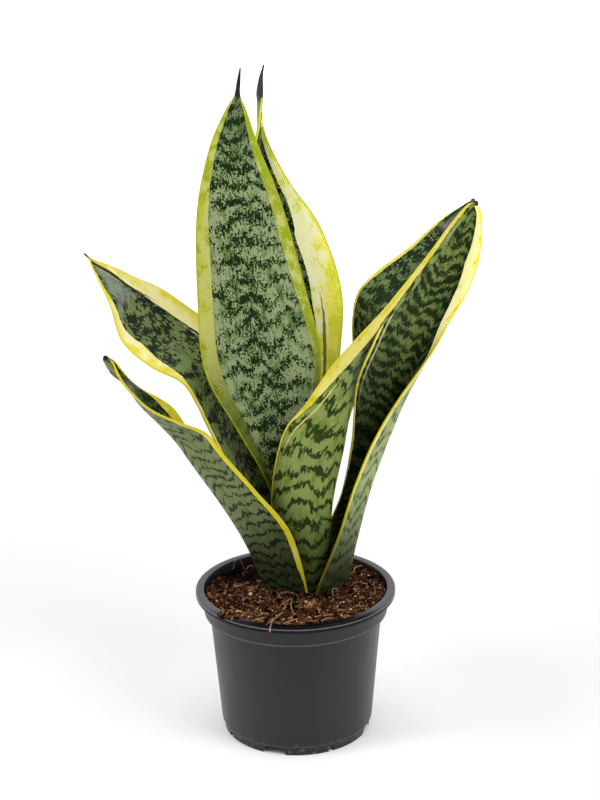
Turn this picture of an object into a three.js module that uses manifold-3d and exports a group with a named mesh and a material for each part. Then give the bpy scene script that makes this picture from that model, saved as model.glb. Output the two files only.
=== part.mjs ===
// A young snake plant in its nursery pot: six stiff variegated leaves rising from one
// buried crown. Millimetres, +Z up. All leaf and soil coordinates below are measured from
// the pot's axis at the surface it stands on; the whole assembly is then moved sideways so
// that the origin lies under the middle of its bounding box.
import * as THREE from 'three';
import { mergeVertices } from 'three/addons/utils/BufferGeometryUtils.js';
import Module from 'manifold-3d';

const wasm = await Module();
wasm.setup();

// ---------------------------------------------------------------- driving dimensions
const POT_AXIS_X = 6.5;            // the leaves reach further left than right of the pot

const POT_HEIGHT = 90;
const RIM_RADIUS = 60;             // outside of the turned-over rim
const RIM_MOUTH_RADIUS = 55;       // inner edge of the rim's flat top
const RIM_SKIRT = 4;               // how far the rim hangs down outside
const COLLAR_FOOT_Z = 75.7;        // lower edge of the wider collar under the rim
const COLLAR_TOP_RADIUS = 56.1;
const COLLAR_FOOT_RADIUS = 55.2;
const WALL_TOP_Z = 74;
const WALL_TOP_RADIUS = 51.7;
const WALL_FOOT_Z = 6.2;
const WALL_FOOT_RADIUS = 46;
const FOOT_RADIUS = 44.4;          // outside of the foot ring where it stands
const FOOT_RING_THICKNESS = 1.6;
const WALL = 1.3;                  // moulded plastic
const FLOOR_UNDERSIDE_Z = 5;
const FLOOR_TOP_Z = 6.4;
const POT_SEGMENTS = 60;

const NOTCH_COUNT = 4;             // wide slots in the foot ring, with a floor hole behind each
const NOTCH_ANGLE = -18;           // degrees from the front towards the right
const NOTCH_HALF_WIDTHS = [7, 5];  // at the bottom edge and at the top of the slot
const NOTCH_HEIGHT = 4.6;
const VENT_ANGLE = 27;             // small round vents between the slots
const VENT_RADIUS = 1.8;
const DRAIN_RING_RADIUS = 33;
const DRAIN_RADIUS_WIDE = 4.5;
const DRAIN_RADIUS_SMALL = 3;

const FIT_GAP = 0.3;               // clearance between neighbouring pieces

const SOIL_LEVEL = 87;
const SOIL_RINGS = 9;
const SOIL_SECTORS = 44;

const LEAF_CUT_Z = 74;             // the leaves end here, on the crown
const LEAF_HALF_THICKNESS = { margin: 0.5, centre: 1.15, extraAtFoot: 0.35 };
const FOOT_SWELL = { from: 130, over: 40 };  // heights over which the foot thickens
const STEPS_BETWEEN_ROWS = 3;
const STEPS_ACROSS = 8;

const CROWN = { x: 4.5, y: 14, topRadius: 21.5, waistRadius: 18, height: 16 };
const RHIZOME_ARM = { radius: 6.5, length: 20, heading: 200, drop: 8 };
const ROOT_COUNT = 9;
const ROOT_RADII = [1.5, 0.9];
const ROOT_SIDES = 6;
const ROOT_STEPS = 5;

const COLOURS = {
  pot: 0x3b3b3f,
  soil: 0x3d2a1d,
  rhizome: 0xc9a46a,
  leafPale: 0x7f9a5c,
  leafDeep: 0x4c6b34,
};

// ---------------------------------------------------------------- leaves
// A blade is given by rows from its cut foot to its tip. Each row lists points across the
// blade from one margin over the keel to the other margin, to the nearest half millimetre.
const LEAF_ROWS = {
  // stands upright in the middle, inner face to the front
  leaf_tall_front: [
    [[1, 14.5, 74], [5, 17, 74], [10, 15, 74]],
    [[-2, 14, 90], [5, 18, 90], [13, 15.5, 90]],
    [[-15, 6, 149.5], [-4, 12, 143], [9, 9, 146.5]],
    [[-32.5, -1, 188], [-12.5, 9, 185.5], [13.5, 1, 194]],
    [[-50.5, -4, 225.5], [-20, 8, 227.5], [16, -1, 235.5]],
    [[-53.5, -4, 272], [-24.5, 7, 272], [6.5, -1, 279]],
    [[-52.5, -2, 317.5], [-27, 7, 317.5], [-4.5, 0, 320.5]],
    [[-45, 2, 352], [-28, 7, 351.5], [-17, 3, 353]],
    [[-35.5, 5, 373], [-28.5, 7, 373], [-23.5, 5, 372.5]],
    [[-30, 5, 381], [-28.5, 6, 381.5], [-27, 5, 381]],
    [[-28.8, 5, 388], [-27.7, 5.5, 388], [-26.7, 5, 388]],
    [[-27, 5, 396], [-26.6, 5, 396], [-26.2, 5, 396]],
  ],
  // behind it, its slender tip twisted by a quarter turn
  leaf_tall_back: [
    [[3, 21, 74], [8, 23.5, 74], [13, 20.5, 74]],
    [[1, 21, 90], [9, 25, 90], [17, 20, 90]],
    [[-5.5, 18, 157], [8, 27, 156.5], [20.5, 20, 161.5]],
    [[-18, 16, 220.5], [6, 27, 222], [28, 18, 229]],
    [[-27.5, 16, 262.5], [0, 27, 263.5], [29, 18, 267.5]],
    [[-30.5, 18, 300.5], [-8.5, 28, 300], [17, 19, 305]],
    [[-27, 18, 329.5], [-15, 28, 329], [0, 20, 330]],
    [[-19.5, 16, 355], [-16.5, 26, 353], [-12.5, 21, 354.5]],
    [[-16, 14, 370.5], [-17, 19, 369], [-15.5, 24, 369]],
    [[-14.5, 15, 380.5], [-16.5, 17, 380.5], [-18, 21, 380]],
    [[-14.5, 17, 390], [-15.5, 18, 390], [-16, 19, 389.5]],
    [[-13.5, 18, 396.5], [-14, 18, 396.5], [-14.5, 18, 396.5]],
  ],
  // leans right, rolled round its keel, outer face to the front
  leaf_right_front: [
    [[1, 9, 74], [5, 6, 74], [10, 6, 74], [15, 9, 74], [15.5, 13, 74]],
    [[-2, 7.5, 90], [3, 3, 90], [11, 1.5, 90], [19, 6, 90], [20, 13, 90]],
    [[-13.5, 0, 138.5], [-4.5, -7, 140], [8, -9, 141.5], [20.5, -3, 141], [22, 8, 141.5]],
    [[-7, -11, 187], [3.5, -16, 182.5], [17, -13, 179], [28, -2, 176.5], [27.5, 9, 179]],
    [[7.5, -17, 210], [16.5, -18, 205.5], [27, -11, 199], [33, 1, 198.5], [31, 12, 204]],
    [[22, -22, 233], [28.5, -18, 227], [35.5, -4, 218.5], [40.5, 8, 215.5], [35.5, 17, 225.5]],
    [[35.5, -26, 249.5], [40, -20, 244.5], [41, -11, 242], [48.5, 5, 234], [35, 16, 249]],
    [[50.5, -27, 266], [54, -21, 261], [50.5, -13, 262.5], [48.5, -3, 263], [38.5, 12, 268]],
    [[61, -25, 278.5], [65, -20, 274], [63, -12, 274], [61, -4, 275.5], [50.5, 7, 282]],
    [[75.5, -20, 295.5], [79, -16, 292], [78, -9, 292], [75.5, -3, 293.5], [68, 4, 296]],
    [[88, -14, 311], [90.5, -11, 308], [90, -6, 308.5], [88, -3, 310], [84, 0, 311.5]],
    [[98, -8, 321], [99.5, -7, 319.5], [99.5, -5, 319.5], [98.5, -4, 320.5], [97, -3, 320]],
    [[103.5, -5.5, 322], [104, -5.5, 321.5], [104.5, -5, 321.5], [104.5, -5, 322], [104, -4.5, 322]],
  ],
  // leans right behind it, its inner face shown above and its outer face below
  leaf_right_back: [
    [[17, 25, 74], [24, 10, 74], [13, 1, 74]],
    [[21, 27, 90], [31, 10, 90], [13, -8, 90]],
    [[20, 25, 115.5], [36, 10, 114.5], [25, -9, 122.5]],
    [[28.5, 19, 142.5], [45, 9, 149], [35, -9, 155]],
    [[34, 7, 178], [53.5, 10, 174.5], [46.5, -9, 184]],
    [[36.5, -11, 219], [59.5, 10, 194], [61, -8, 209]],
    [[46, -15.5, 245.5], [70, 12, 221.5], [81, 0, 235]],
    [[54, -13, 261.5], [77.5, 16, 240.5], [91, 6, 251]],
    [[63, 0, 272.5], [85.5, 21, 255.5], [100.5, 10, 266]],
    [[72.5, 8, 284.5], [93.5, 25, 271], [107.5, 14, 283]],
    [[85.5, 14, 300.5], [102, 27, 290.5], [109.5, 17, 299.5]],
    [[98, 18, 313], [106, 24, 307.5], [109, 19, 311.5]],
    [[104, 20, 319.5], [104.5, 20.5, 319.5], [105, 20, 319.5]],
  ],
  // arches left and back, inner face upwards
  leaf_left_upper: [
    [[-3, 11, 74], [-4, 15.5, 74], [0, 19, 74]],
    [[-8, 11, 90], [-9, 17, 90], [-3, 24, 90]],
    [[-25.5, 3, 134.5], [-22, 17, 140], [-5.5, 28, 144]],
    [[-49, 1, 187.5], [-38.5, 17, 194.5], [-18.5, 30, 202.5]],
    [[-56.5, 1.5, 204.5], [-44.5, 18, 212], [-28, 32, 222.5]],
    [[-65, 3.5, 217], [-52, 20, 225], [-38.5, 34, 237]],
    [[-83, 8, 225.5], [-71, 27, 237.5], [-59.5, 40, 251.5]],
    [[-99.5, 16, 238.5], [-88, 34, 251.5], [-77.5, 46, 263]],
    [[-106.5, 26, 256.5], [-99.5, 39, 263], [-93, 49, 269.5]],
    [[-112.5, 35, 267], [-109, 42, 271], [-104.5, 49, 275.5]],
    [[-118.5, 43, 277], [-117.5, 45, 278.5], [-116, 47, 280.5]],
    [[-120.2, 45.3, 281.3], [-119.8, 46, 281.7], [-119.3, 46.7, 282.1]],
    [[-123, 45.5, 284.5], [-123, 46, 285], [-123, 46.5, 285.5]],
  ],
  // arches left and forward below it, outer face to the front
  leaf_left_lower: [
    [[5, 0, 74], [-15, 11, 74], [-2, 28, 74]],
    [[7, -5, 89], [-17.5, 9, 85.5], [-4, 33, 90]],
    [[-2.5, -14, 129.5], [-28, 5, 114.5], [-16.5, 30, 114]],
    [[-22, -20, 158], [-42.5, 2, 141.5], [-35.5, 24, 144.5]],
    [[-39.5, -24, 181.5], [-59.5, 0, 169], [-53, 16, 170]],
    [[-49.5, -26, 195.5], [-67, -3, 182.5], [-61, 13, 182.5]],
    [[-65, -28.5, 203], [-77.3, -6, 196], [-69.5, 8, 199]],
    [[-80.5, -31, 211.5], [-87, -12, 209.5], [-77.5, 3, 207.5]],
    [[-92, -33, 224], [-93.5, -20, 224], [-89, -8, 218]],
    [[-96.5, -33, 232.5], [-100, -27, 231.5], [-95.5, -22, 232]],
    [[-99.5, -32, 239.5], [-104, -29, 239.5], [-98.5, -28, 238.5]],
    [[-103, -31.5, 242], [-104, -31, 242.5], [-102.5, -31, 241.5]],
  ],
};

// One coordinate of a smooth curve through four neighbouring values, between b and c.
function smooth(a, b, c, d, f) {
  return 0.5 * (2 * b + (c - a) * f + (2 * a - 5 * b + 4 * c - d) * f * f
    + (3 * b - a - 3 * c + d) * f * f * f);
}

// Point at parameter t on the smooth curve through a list of points. Past either end the
// curve goes on straight.
function pointOnCurve(points, t) {
  const last = points.length - 1;
  const i = Math.min(Math.max(Math.floor(t), 0), last - 1);
  const f = t - i;
  const b = points[i];
  const c = points[i + 1];
  if (f < 0 || f > 1) return b.clone().lerp(c, f);
  const a = i > 0 ? points[i - 1] : b.clone().multiplyScalar(2).sub(c);
  const d = i < last - 1 ? points[i + 2] : c.clone().multiplyScalar(2).sub(b);
  return new THREE.Vector3(
    smooth(a.x, b.x, c.x, d.x, f),
    smooth(a.y, b.y, c.y, d.y, f),
    smooth(a.z, b.z, c.z, d.z, f),
  );
}

// Middle surface of a blade as a grid of points, rows from foot to tip.
function bladeGrid(rows, overhang) {
  const steps = (rows.length - 1) * STEPS_BETWEEN_ROWS;
  const points = rows.map((row) => row.map((p) => new THREE.Vector3(...p)));
  const columns = points[0].length;
  const grid = [];
  for (let i = 0; i <= steps; i++) {
    const t = i / STEPS_BETWEEN_ROWS;
    const across = [];
    for (let k = 0; k < columns; k++) across.push(pointOnCurve(points.map((row) => row[k]), t));
    const line = [];
    for (let j = 0; j <= STEPS_ACROSS; j++) {
      line.push(pointOnCurve(across, (j / STEPS_ACROSS) * (columns - 1)));
    }
    extendEnds(line, overhang);
    grid.push(line);
  }
  return grid;
}

// Moves the first and last point of a line outwards along it.
function extendEnds(line, distance) {
  const n = line.length - 1;
  const left = line[0].clone().sub(line[1]).setLength(distance);
  const right = line[n].clone().sub(line[n - 1]).setLength(distance);
  line[0].add(left);
  line[n].add(right);
}

function halfThickness(across, z) {
  const { margin, centre, extraAtFoot } = LEAF_HALF_THICKNESS;
  const swell = THREE.MathUtils.clamp((FOOT_SWELL.from - z) / FOOT_SWELL.over, 0, 1);
  const middle = centre + extraAtFoot * swell;
  return margin + (middle - margin) * (1 - across * across);
}

// Closed blade round its middle surface. With a clearance it is the hole that the blade
// stands in: thicker on every side and deeper at the foot.
function bladeGeometry(rows, clearance = 0) {
  const grid = bladeGrid(rows, clearance);
  const lastRow = grid.length - 1;
  const lastColumn = STEPS_ACROSS;
  const positions = [];
  const side = (sign) => {
    for (let i = 0; i <= lastRow; i++) {
      for (let j = 0; j <= lastColumn; j++) {
        const along = grid[Math.min(i + 1, lastRow)][j].clone().sub(grid[Math.max(i - 1, 0)][j]);
        const over = grid[i][Math.min(j + 1, lastColumn)].clone().sub(grid[i][Math.max(j - 1, 0)]);
        const normal = along.cross(over).normalize();
        if (i === 0) normal.setZ(0).normalize();
        const offset = halfThickness((2 * j) / lastColumn - 1, grid[i][j].z) + clearance;
        const p = grid[i][j].clone().addScaledVector(normal, sign * offset);
        if (i === 0) p.z = LEAF_CUT_Z - clearance;
        positions.push(p.x, p.y, p.z);
      }
    }
  };
  side(1);
  side(-1);

  const columns = lastColumn + 1;
  const inner = (i, j) => i * columns + j;
  const outer = (i, j) => (lastRow + 1) * columns + i * columns + j;
  const index = [];
  const quad = (a, b, c, d) => index.push(a, b, c, c, b, d);
  for (let i = 0; i < lastRow; i++) {
    for (let j = 0; j < lastColumn; j++) {
      quad(inner(i, j), inner(i + 1, j), inner(i, j + 1), inner(i + 1, j + 1));
      index.push(outer(i, j), outer(i, j + 1), outer(i + 1, j));
      index.push(outer(i, j + 1), outer(i + 1, j + 1), outer(i + 1, j));
    }
    quad(inner(i, 0), outer(i, 0), inner(i + 1, 0), outer(i + 1, 0));
    quad(inner(i, lastColumn), inner(i + 1, lastColumn), outer(i, lastColumn), outer(i + 1, lastColumn));
  }
  for (let j = 0; j < lastColumn; j++) {
    quad(inner(0, j), inner(0, j + 1), outer(0, j), outer(0, j + 1));
    quad(inner(lastRow, j), outer(lastRow, j), inner(lastRow, j + 1), outer(lastRow, j + 1));
  }
  const geometry = new THREE.BufferGeometry();
  geometry.setAttribute('position', new THREE.Float32BufferAttribute(positions, 3));
  geometry.setIndex(index);
  return geometry;
}

// ---------------------------------------------------------------- joining and cutting
function toSolid(geometry) {
  const bare = geometry.clone();
  bare.deleteAttribute('normal');
  bare.deleteAttribute('uv');
  const merged = mergeVertices(bare, 1e-4);
  return new wasm.Manifold(new wasm.Mesh({
    numProp: 3,
    vertProperties: Float32Array.from(merged.attributes.position.array),
    triVerts: Uint32Array.from(merged.index.array),
  }));
}

function toGeometry(solid) {
  const mesh = solid.getMesh();
  const geometry = new THREE.BufferGeometry();
  geometry.setAttribute('position', new THREE.BufferAttribute(Float32Array.from(mesh.vertProperties), 3));
  geometry.setIndex(Array.from(mesh.triVerts));
  return geometry;
}

function joined(geometries) {
  return geometries.map(toSolid).reduce((whole, piece) => whole.add(piece));
}

// Turns a lathe, whose axis is Y in three.js, to stand on Z.
function lathe(profile, segments) {
  const points = profile.map(([radius, z]) => new THREE.Vector2(radius, z));
  return new THREE.LatheGeometry(points, segments).rotateX(Math.PI / 2);
}

// Heading in degrees from the front (-Y) towards the right (+X), as radians about +Z from +X.
function headingToAngle(degrees) {
  return THREE.MathUtils.degToRad(degrees - 90);
}

function mesh(name, geometry, color, roughness) {
  const piece = new THREE.Mesh(
    geometry,
    new THREE.MeshStandardMaterial({ color, roughness, metalness: 0, flatShading: true }),
  );
  piece.name = name;
  return piece;
}

// ---------------------------------------------------------------- pot
function potProfile() {
  const skirtFoot = POT_HEIGHT - RIM_SKIRT;
  const skirtRoof = POT_HEIGHT - 1.5;
  return [
    [0, FLOOR_UNDERSIDE_Z],
    [FOOT_RADIUS - FOOT_RING_THICKNESS, FLOOR_UNDERSIDE_Z],
    [FOOT_RADIUS - FOOT_RING_THICKNESS, 0],
    [FOOT_RADIUS, 0],
    [WALL_FOOT_RADIUS - 0.8, WALL_FOOT_Z - 0.5],
    [WALL_FOOT_RADIUS, WALL_FOOT_Z],
    [WALL_TOP_RADIUS, WALL_TOP_Z],
    [COLLAR_FOOT_RADIUS, COLLAR_FOOT_Z],
    [COLLAR_TOP_RADIUS, skirtRoof],
    [RIM_RADIUS - WALL, skirtRoof],
    [RIM_RADIUS - WALL, skirtFoot + 0.4],
    [RIM_RADIUS - 0.6, skirtFoot],
    [RIM_RADIUS, skirtFoot + 0.6],
    [RIM_RADIUS, POT_HEIGHT - 1],
    [RIM_RADIUS - 0.9, POT_HEIGHT],
    [RIM_MOUTH_RADIUS + 0.6, POT_HEIGHT],
    [RIM_MOUTH_RADIUS, POT_HEIGHT - 0.7],
    [COLLAR_FOOT_RADIUS - WALL, COLLAR_FOOT_Z + 1.2],
    [WALL_TOP_RADIUS - WALL, WALL_TOP_Z + 0.8],
    [WALL_FOOT_RADIUS - WALL, FLOOR_TOP_Z],
    [0, FLOOR_TOP_Z],
  ];
}

function notchCutter() {
  const [low, high] = NOTCH_HALF_WIDTHS;
  const outline = new THREE.Shape([
    new THREE.Vector2(-low, -1),
    new THREE.Vector2(low, -1),
    new THREE.Vector2(low, 0),
    new THREE.Vector2(high, NOTCH_HEIGHT),
    new THREE.Vector2(-high, NOTCH_HEIGHT),
    new THREE.Vector2(-low, 0),
  ]);
  const depth = 14;
  const cutter = new THREE.ExtrudeGeometry(outline, { depth, bevelEnabled: false });
  // stand the outline up and point the extrusion outwards along +X
  return cutter.rotateX(Math.PI / 2).rotateZ(Math.PI / 2).translate(FOOT_RADIUS - depth / 2, 0, 0);
}

function ventCutter() {
  const cutter = new THREE.CylinderGeometry(VENT_RADIUS, VENT_RADIUS, 10, 12);
  return cutter.rotateZ(Math.PI / 2).translate(FOOT_RADIUS, 0, 1);
}

function drainCutter(radius) {
  const cutter = new THREE.CylinderGeometry(radius, radius, 8, 16);
  return cutter.rotateX(Math.PI / 2).translate(DRAIN_RING_RADIUS, 0, FLOOR_TOP_Z);
}

function potGeometry() {
  let pot = toSolid(lathe(potProfile(), POT_SEGMENTS));
  for (let k = 0; k < NOTCH_COUNT; k++) {
    const notchTurn = headingToAngle(NOTCH_ANGLE + (360 / NOTCH_COUNT) * k);
    const ventTurn = headingToAngle(VENT_ANGLE + (360 / NOTCH_COUNT) * k);
    for (const cutter of [notchCutter(), drainCutter(DRAIN_RADIUS_WIDE)]) {
      pot = pot.subtract(toSolid(cutter.rotateZ(notchTurn)));
    }
    for (const cutter of [ventCutter(), drainCutter(DRAIN_RADIUS_SMALL)]) {
      pot = pot.subtract(toSolid(cutter.rotateZ(ventTurn)));
    }
  }
  return toGeometry(pot);
}

// ---------------------------------------------------------------- crown and roots
function crownGeometry(clearance) {
  const top = LEAF_CUT_Z - FIT_GAP;
  const bottom = top - CROWN.height;
  const profile = [
    [0, bottom - clearance],
    [CROWN.waistRadius * 0.55 + clearance, bottom - clearance],
    [CROWN.waistRadius + clearance, top - CROWN.height * 0.55 - clearance / 2],
    [CROWN.topRadius + clearance, top - 4],
    [CROWN.topRadius + clearance - 1, top + clearance],
    [0, top + clearance],
  ];
  return lathe(profile, 20).translate(CROWN.x, CROWN.y, 0);
}

function armGeometry(clearance) {
  const radius = RHIZOME_ARM.radius + clearance;
  const arm = new THREE.CapsuleGeometry(radius, RHIZOME_ARM.length, 3, 12);
  const angle = headingToAngle(RHIZOME_ARM.heading);
  const reach = RHIZOME_ARM.length * 0.7;
  return arm
    .rotateZ(Math.PI / 2)
    .rotateZ(angle)
    .translate(
      CROWN.x + reach * Math.cos(angle),
      CROWN.y + reach * Math.sin(angle),
      LEAF_CUT_Z - RHIZOME_ARM.drop - RHIZOME_ARM.radius * 0.5,
    );
}

// A root leaves the crown's underside and bends down and outwards, thinning as it goes.
function rootGeometry(k, clearance) {
  const angle = (2 * Math.PI * k) / ROOT_COUNT + 0.3;
  const spread = 14 + 9 * Math.sin(k * 2.4);
  const depth = 36 + 8 * Math.cos(k * 1.7);
  const start = new THREE.Vector3(
    CROWN.x + 7 * Math.cos(angle),
    CROWN.y + 7 * Math.sin(angle),
    LEAF_CUT_Z - 10,
  );
  const outwards = new THREE.Vector3(Math.cos(angle), Math.sin(angle), 0);
  const middle = start.clone().addScaledVector(outwards, spread * 0.75);
  middle.z -= depth * 0.35;
  const end = start.clone().addScaledVector(outwards, spread);
  end.z -= depth;
  const curve = new THREE.QuadraticBezierCurve3(start, middle, end);
  const sideways = new THREE.Vector3(-outwards.y, outwards.x, 0);
  const rings = [];
  for (let i = 0; i <= ROOT_STEPS; i++) {
    const t = i / ROOT_STEPS;
    const radius = THREE.MathUtils.lerp(ROOT_RADII[0], ROOT_RADII[1], t) + clearance;
    const tangent = curve.getTangent(t);
    const across = sideways.clone().cross(tangent);
    const centre = curve.getPoint(t);
    if (i === ROOT_STEPS) centre.addScaledVector(tangent, clearance);
    const ring = [];
    for (let s = 0; s < ROOT_SIDES; s++) {
      const turn = (2 * Math.PI * s) / ROOT_SIDES;
      ring.push(centre.clone()
        .addScaledVector(sideways, radius * Math.cos(turn))
        .addScaledVector(across, radius * Math.sin(turn)));
    }
    rings.push(ring);
  }
  return loftRings(rings);
}

// Closed solid through rings of equally many points, each end closed flat.
function loftRings(rings) {
  const sides = rings[0].length;
  const last = rings.length - 1;
  const positions = rings.flat().flatMap((p) => [p.x, p.y, p.z]);
  const index = [];
  for (let i = 0; i < last; i++) {
    for (let s = 0; s < sides; s++) {
      const next = (s + 1) % sides;
      const a = i * sides + s;
      const b = i * sides + next;
      const c = (i + 1) * sides + s;
      const d = (i + 1) * sides + next;
      index.push(a, c, b, b, c, d);
    }
  }
  for (let s = 1; s < sides - 1; s++) {
    index.push(0, s, s + 1);
    index.push(last * sides, last * sides + s + 1, last * sides + s);
  }
  const geometry = new THREE.BufferGeometry();
  geometry.setAttribute('position', new THREE.Float32BufferAttribute(positions, 3));
  geometry.setIndex(index);
  return geometry;
}

function rhizomeSolid(clearance = 0) {
  const pieces = [crownGeometry(clearance), armGeometry(clearance)];
  for (let k = 0; k < ROOT_COUNT; k++) pieces.push(rootGeometry(k, clearance));
  return joined(pieces);
}

// ---------------------------------------------------------------- soil
// Lumpy surface, lower against the wall at the back left, with a hollow and a heap in front.
function soilHeight(x, y) {
  const lumps = 0.7 * Math.sin(x * 0.21 + 1.3) * Math.cos(y * 0.17)
    + 0.5 * Math.sin(x * 0.43 - y * 0.37 + 0.6);
  const bump = (cx, cy, height, radius) => (
    height * Math.exp(-((x - cx) ** 2 + (y - cy) ** 2) / (2 * radius * radius))
  );
  return SOIL_LEVEL + lumps
    + bump(-36, 34, -3.5, 14)
    + bump(-5, -15, -2.6, 4)
    + bump(6, -22, 1.6, 6)
    + bump(-38, -34, 1.4, 8);
}

// Inside of the pot's wall at a height, less the fitting gap.
function soilRadius(z) {
  const collarZ = COLLAR_FOOT_Z + 1.2;
  const ledgeZ = WALL_TOP_Z + 0.8;
  if (z >= collarZ) {
    const f = (z - collarZ) / (POT_HEIGHT - 0.7 - collarZ);
    return THREE.MathUtils.lerp(COLLAR_FOOT_RADIUS - WALL, RIM_MOUTH_RADIUS, f) - FIT_GAP;
  }
  const f = (z - FLOOR_TOP_Z) / (ledgeZ - FLOOR_TOP_Z);
  return THREE.MathUtils.lerp(WALL_FOOT_RADIUS - WALL, WALL_TOP_RADIUS - WALL, f) - FIT_GAP;
}

function soilBody() {
  const bottom = FLOOR_TOP_Z + FIT_GAP;
  const rings = [];
  for (let i = 1; i <= SOIL_RINGS; i++) {
    const ring = [];
    for (let s = 0; s < SOIL_SECTORS; s++) {
      const angle = (2 * Math.PI * s) / SOIL_SECTORS;
      const reach = (soilRadius(SOIL_LEVEL - 3) * i) / SOIL_RINGS;
      const x = reach * Math.cos(angle);
      const y = reach * Math.sin(angle);
      ring.push(new THREE.Vector3(x, y, soilHeight(x, y)));
    }
    rings.push(ring);
  }
  const collarZ = COLLAR_FOOT_Z + 1.2;
  // the soil lies on the wall's inner ledge with the fitting gap under it
  for (const z of [collarZ + FIT_GAP * 1.2, WALL_TOP_Z + 0.8 + FIT_GAP * 0.3, bottom]) {
    const ring = [];
    for (let s = 0; s < SOIL_SECTORS; s++) {
      const angle = (2 * Math.PI * s) / SOIL_SECTORS;
      ring.push(new THREE.Vector3(soilRadius(z) * Math.cos(angle), soilRadius(z) * Math.sin(angle), z));
    }
    rings.push(ring);
  }
  const positions = [0, 0, soilHeight(0, 0), 0, 0, bottom];
  positions.push(...rings.flat().flatMap((p) => [p.x, p.y, p.z]));
  const at = (i, s) => 2 + i * SOIL_SECTORS + (s % SOIL_SECTORS);
  const index = [];
  const last = rings.length - 1;
  for (let s = 0; s < SOIL_SECTORS; s++) {
    index.push(0, at(0, s), at(0, s + 1));
    index.push(1, at(last, s + 1), at(last, s));
    for (let i = 0; i < last; i++) {
      index.push(at(i, s), at(i + 1, s), at(i, s + 1));
      index.push(at(i, s + 1), at(i + 1, s), at(i + 1, s + 1));
    }
  }
  const geometry = new THREE.BufferGeometry();
  geometry.setAttribute('position', new THREE.Float32BufferAttribute(positions, 3));
  geometry.setIndex(index);
  return geometry;
}

function soilGeometry() {
  let soil = toSolid(soilBody()).subtract(rhizomeSolid(FIT_GAP));
  for (const rows of Object.values(LEAF_ROWS)) {
    soil = soil.subtract(toSolid(bladeGeometry(rows, FIT_GAP)));
  }
  return toGeometry(soil);
}

// ---------------------------------------------------------------- assembly
const LEAF_COLOURS = {
  leaf_tall_front: COLOURS.leafPale,
  leaf_tall_back: COLOURS.leafPale,
  leaf_right_front: COLOURS.leafPale,
  leaf_right_back: COLOURS.leafDeep,
  leaf_left_upper: COLOURS.leafDeep,
  leaf_left_lower: COLOURS.leafPale,
};

const plant = new THREE.Group();
plant.position.x = POT_AXIS_X;
plant.add(mesh('pot', potGeometry(), COLOURS.pot, 0.5));
plant.add(mesh('soil', soilGeometry(), COLOURS.soil, 0.95));
plant.add(mesh('rhizome', toGeometry(rhizomeSolid()), COLOURS.rhizome, 0.7));
for (const [name, rows] of Object.entries(LEAF_ROWS)) {
  plant.add(mesh(name, bladeGeometry(rows), LEAF_COLOURS[name], 0.45));
}

const pottedSnakePlant = new THREE.Group();
pottedSnakePlant.add(plant);
export default pottedSnakePlant;
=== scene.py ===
"""A young snake plant in its nursery pot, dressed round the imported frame.

A piece's sizes are millimetres from the pot's axis at the surface it stands on, and become
metres in the row frame when its mesh is made. A leaf's pattern is laid out in millimetres
over its blade, and every other pattern in metres of the row frame.
"""

from __future__ import annotations

import logging
import math
from dataclasses import dataclass, field
from enum import Enum
from typing import Any, Sequence

import bpy
import numpy as np
from mathutils import Euler, Matrix, Vector, noise

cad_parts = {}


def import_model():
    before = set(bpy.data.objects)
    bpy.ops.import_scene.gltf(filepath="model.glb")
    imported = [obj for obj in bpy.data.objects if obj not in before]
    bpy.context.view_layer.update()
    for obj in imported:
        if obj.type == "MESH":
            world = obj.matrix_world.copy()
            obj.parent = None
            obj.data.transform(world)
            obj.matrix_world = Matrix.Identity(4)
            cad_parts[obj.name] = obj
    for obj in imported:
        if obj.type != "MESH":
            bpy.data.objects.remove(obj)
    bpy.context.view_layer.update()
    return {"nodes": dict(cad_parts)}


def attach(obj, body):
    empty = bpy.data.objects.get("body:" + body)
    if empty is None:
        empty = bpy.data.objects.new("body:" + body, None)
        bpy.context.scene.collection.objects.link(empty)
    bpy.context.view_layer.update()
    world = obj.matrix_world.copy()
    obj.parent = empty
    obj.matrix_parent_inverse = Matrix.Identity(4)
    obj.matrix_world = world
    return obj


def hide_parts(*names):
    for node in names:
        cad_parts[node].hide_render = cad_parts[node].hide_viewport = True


LOG = logging.getLogger("snake_plant")

MM = 0.001
POT_AXIS = np.array([6.5, 0.0, 0.0])
STUDIO_GAIN = 1.25  # how much brighter a colour looks under the studio's light

Point = tuple[float, float, float]
Face = tuple[int, ...]
Rows = list[list[Point]]
Profile = tuple[tuple[float, float], ...]
Step = tuple[float, float]
Colour = tuple[float, float, float, float]


class Shape(Enum):
    """Crumb outlines that the soil is strewn with, by how finely they are cut."""

    GRAIN = 1
    LUMP = 2


class Slot(Enum):
    """Material slots of the record."""

    POT = "pot_plastic"
    SOIL = "potting_soil"
    LEAF = "leaf_variegated"


# ------------------------------------------------------------------ colours and meshes
def srgb(red: int, green: int, blue: int) -> Colour:
    """Turns a screen colour into the linear colour a shader takes.

    Args:
        red: Red, 0 to 255.
        green: Green, 0 to 255.
        blue: Blue, 0 to 255.

    Returns:
        The linear colour with full alpha.
    """
    shares = [value / 255 for value in (red, green, blue)]
    r, g, b = (s / 12.92 if s <= 0.04045 else ((s + 0.055) / 1.055) ** 2.4 for s in shares)
    return (r, g, b, 1.0)


def shaded(colour: Colour, share: float) -> Colour:
    """A colour scaled down towards black."""
    return (colour[0] * share, colour[1] * share, colour[2] * share, 1.0)


def seen(red: int, green: int, blue: int) -> Colour:
    """Turns a colour as it looks under the studio's light into a surface colour."""
    r, g, b, alpha = srgb(red, green, blue)
    return (r / STUDIO_GAIN, g / STUDIO_GAIN, b / STUDIO_GAIN, alpha)


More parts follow.
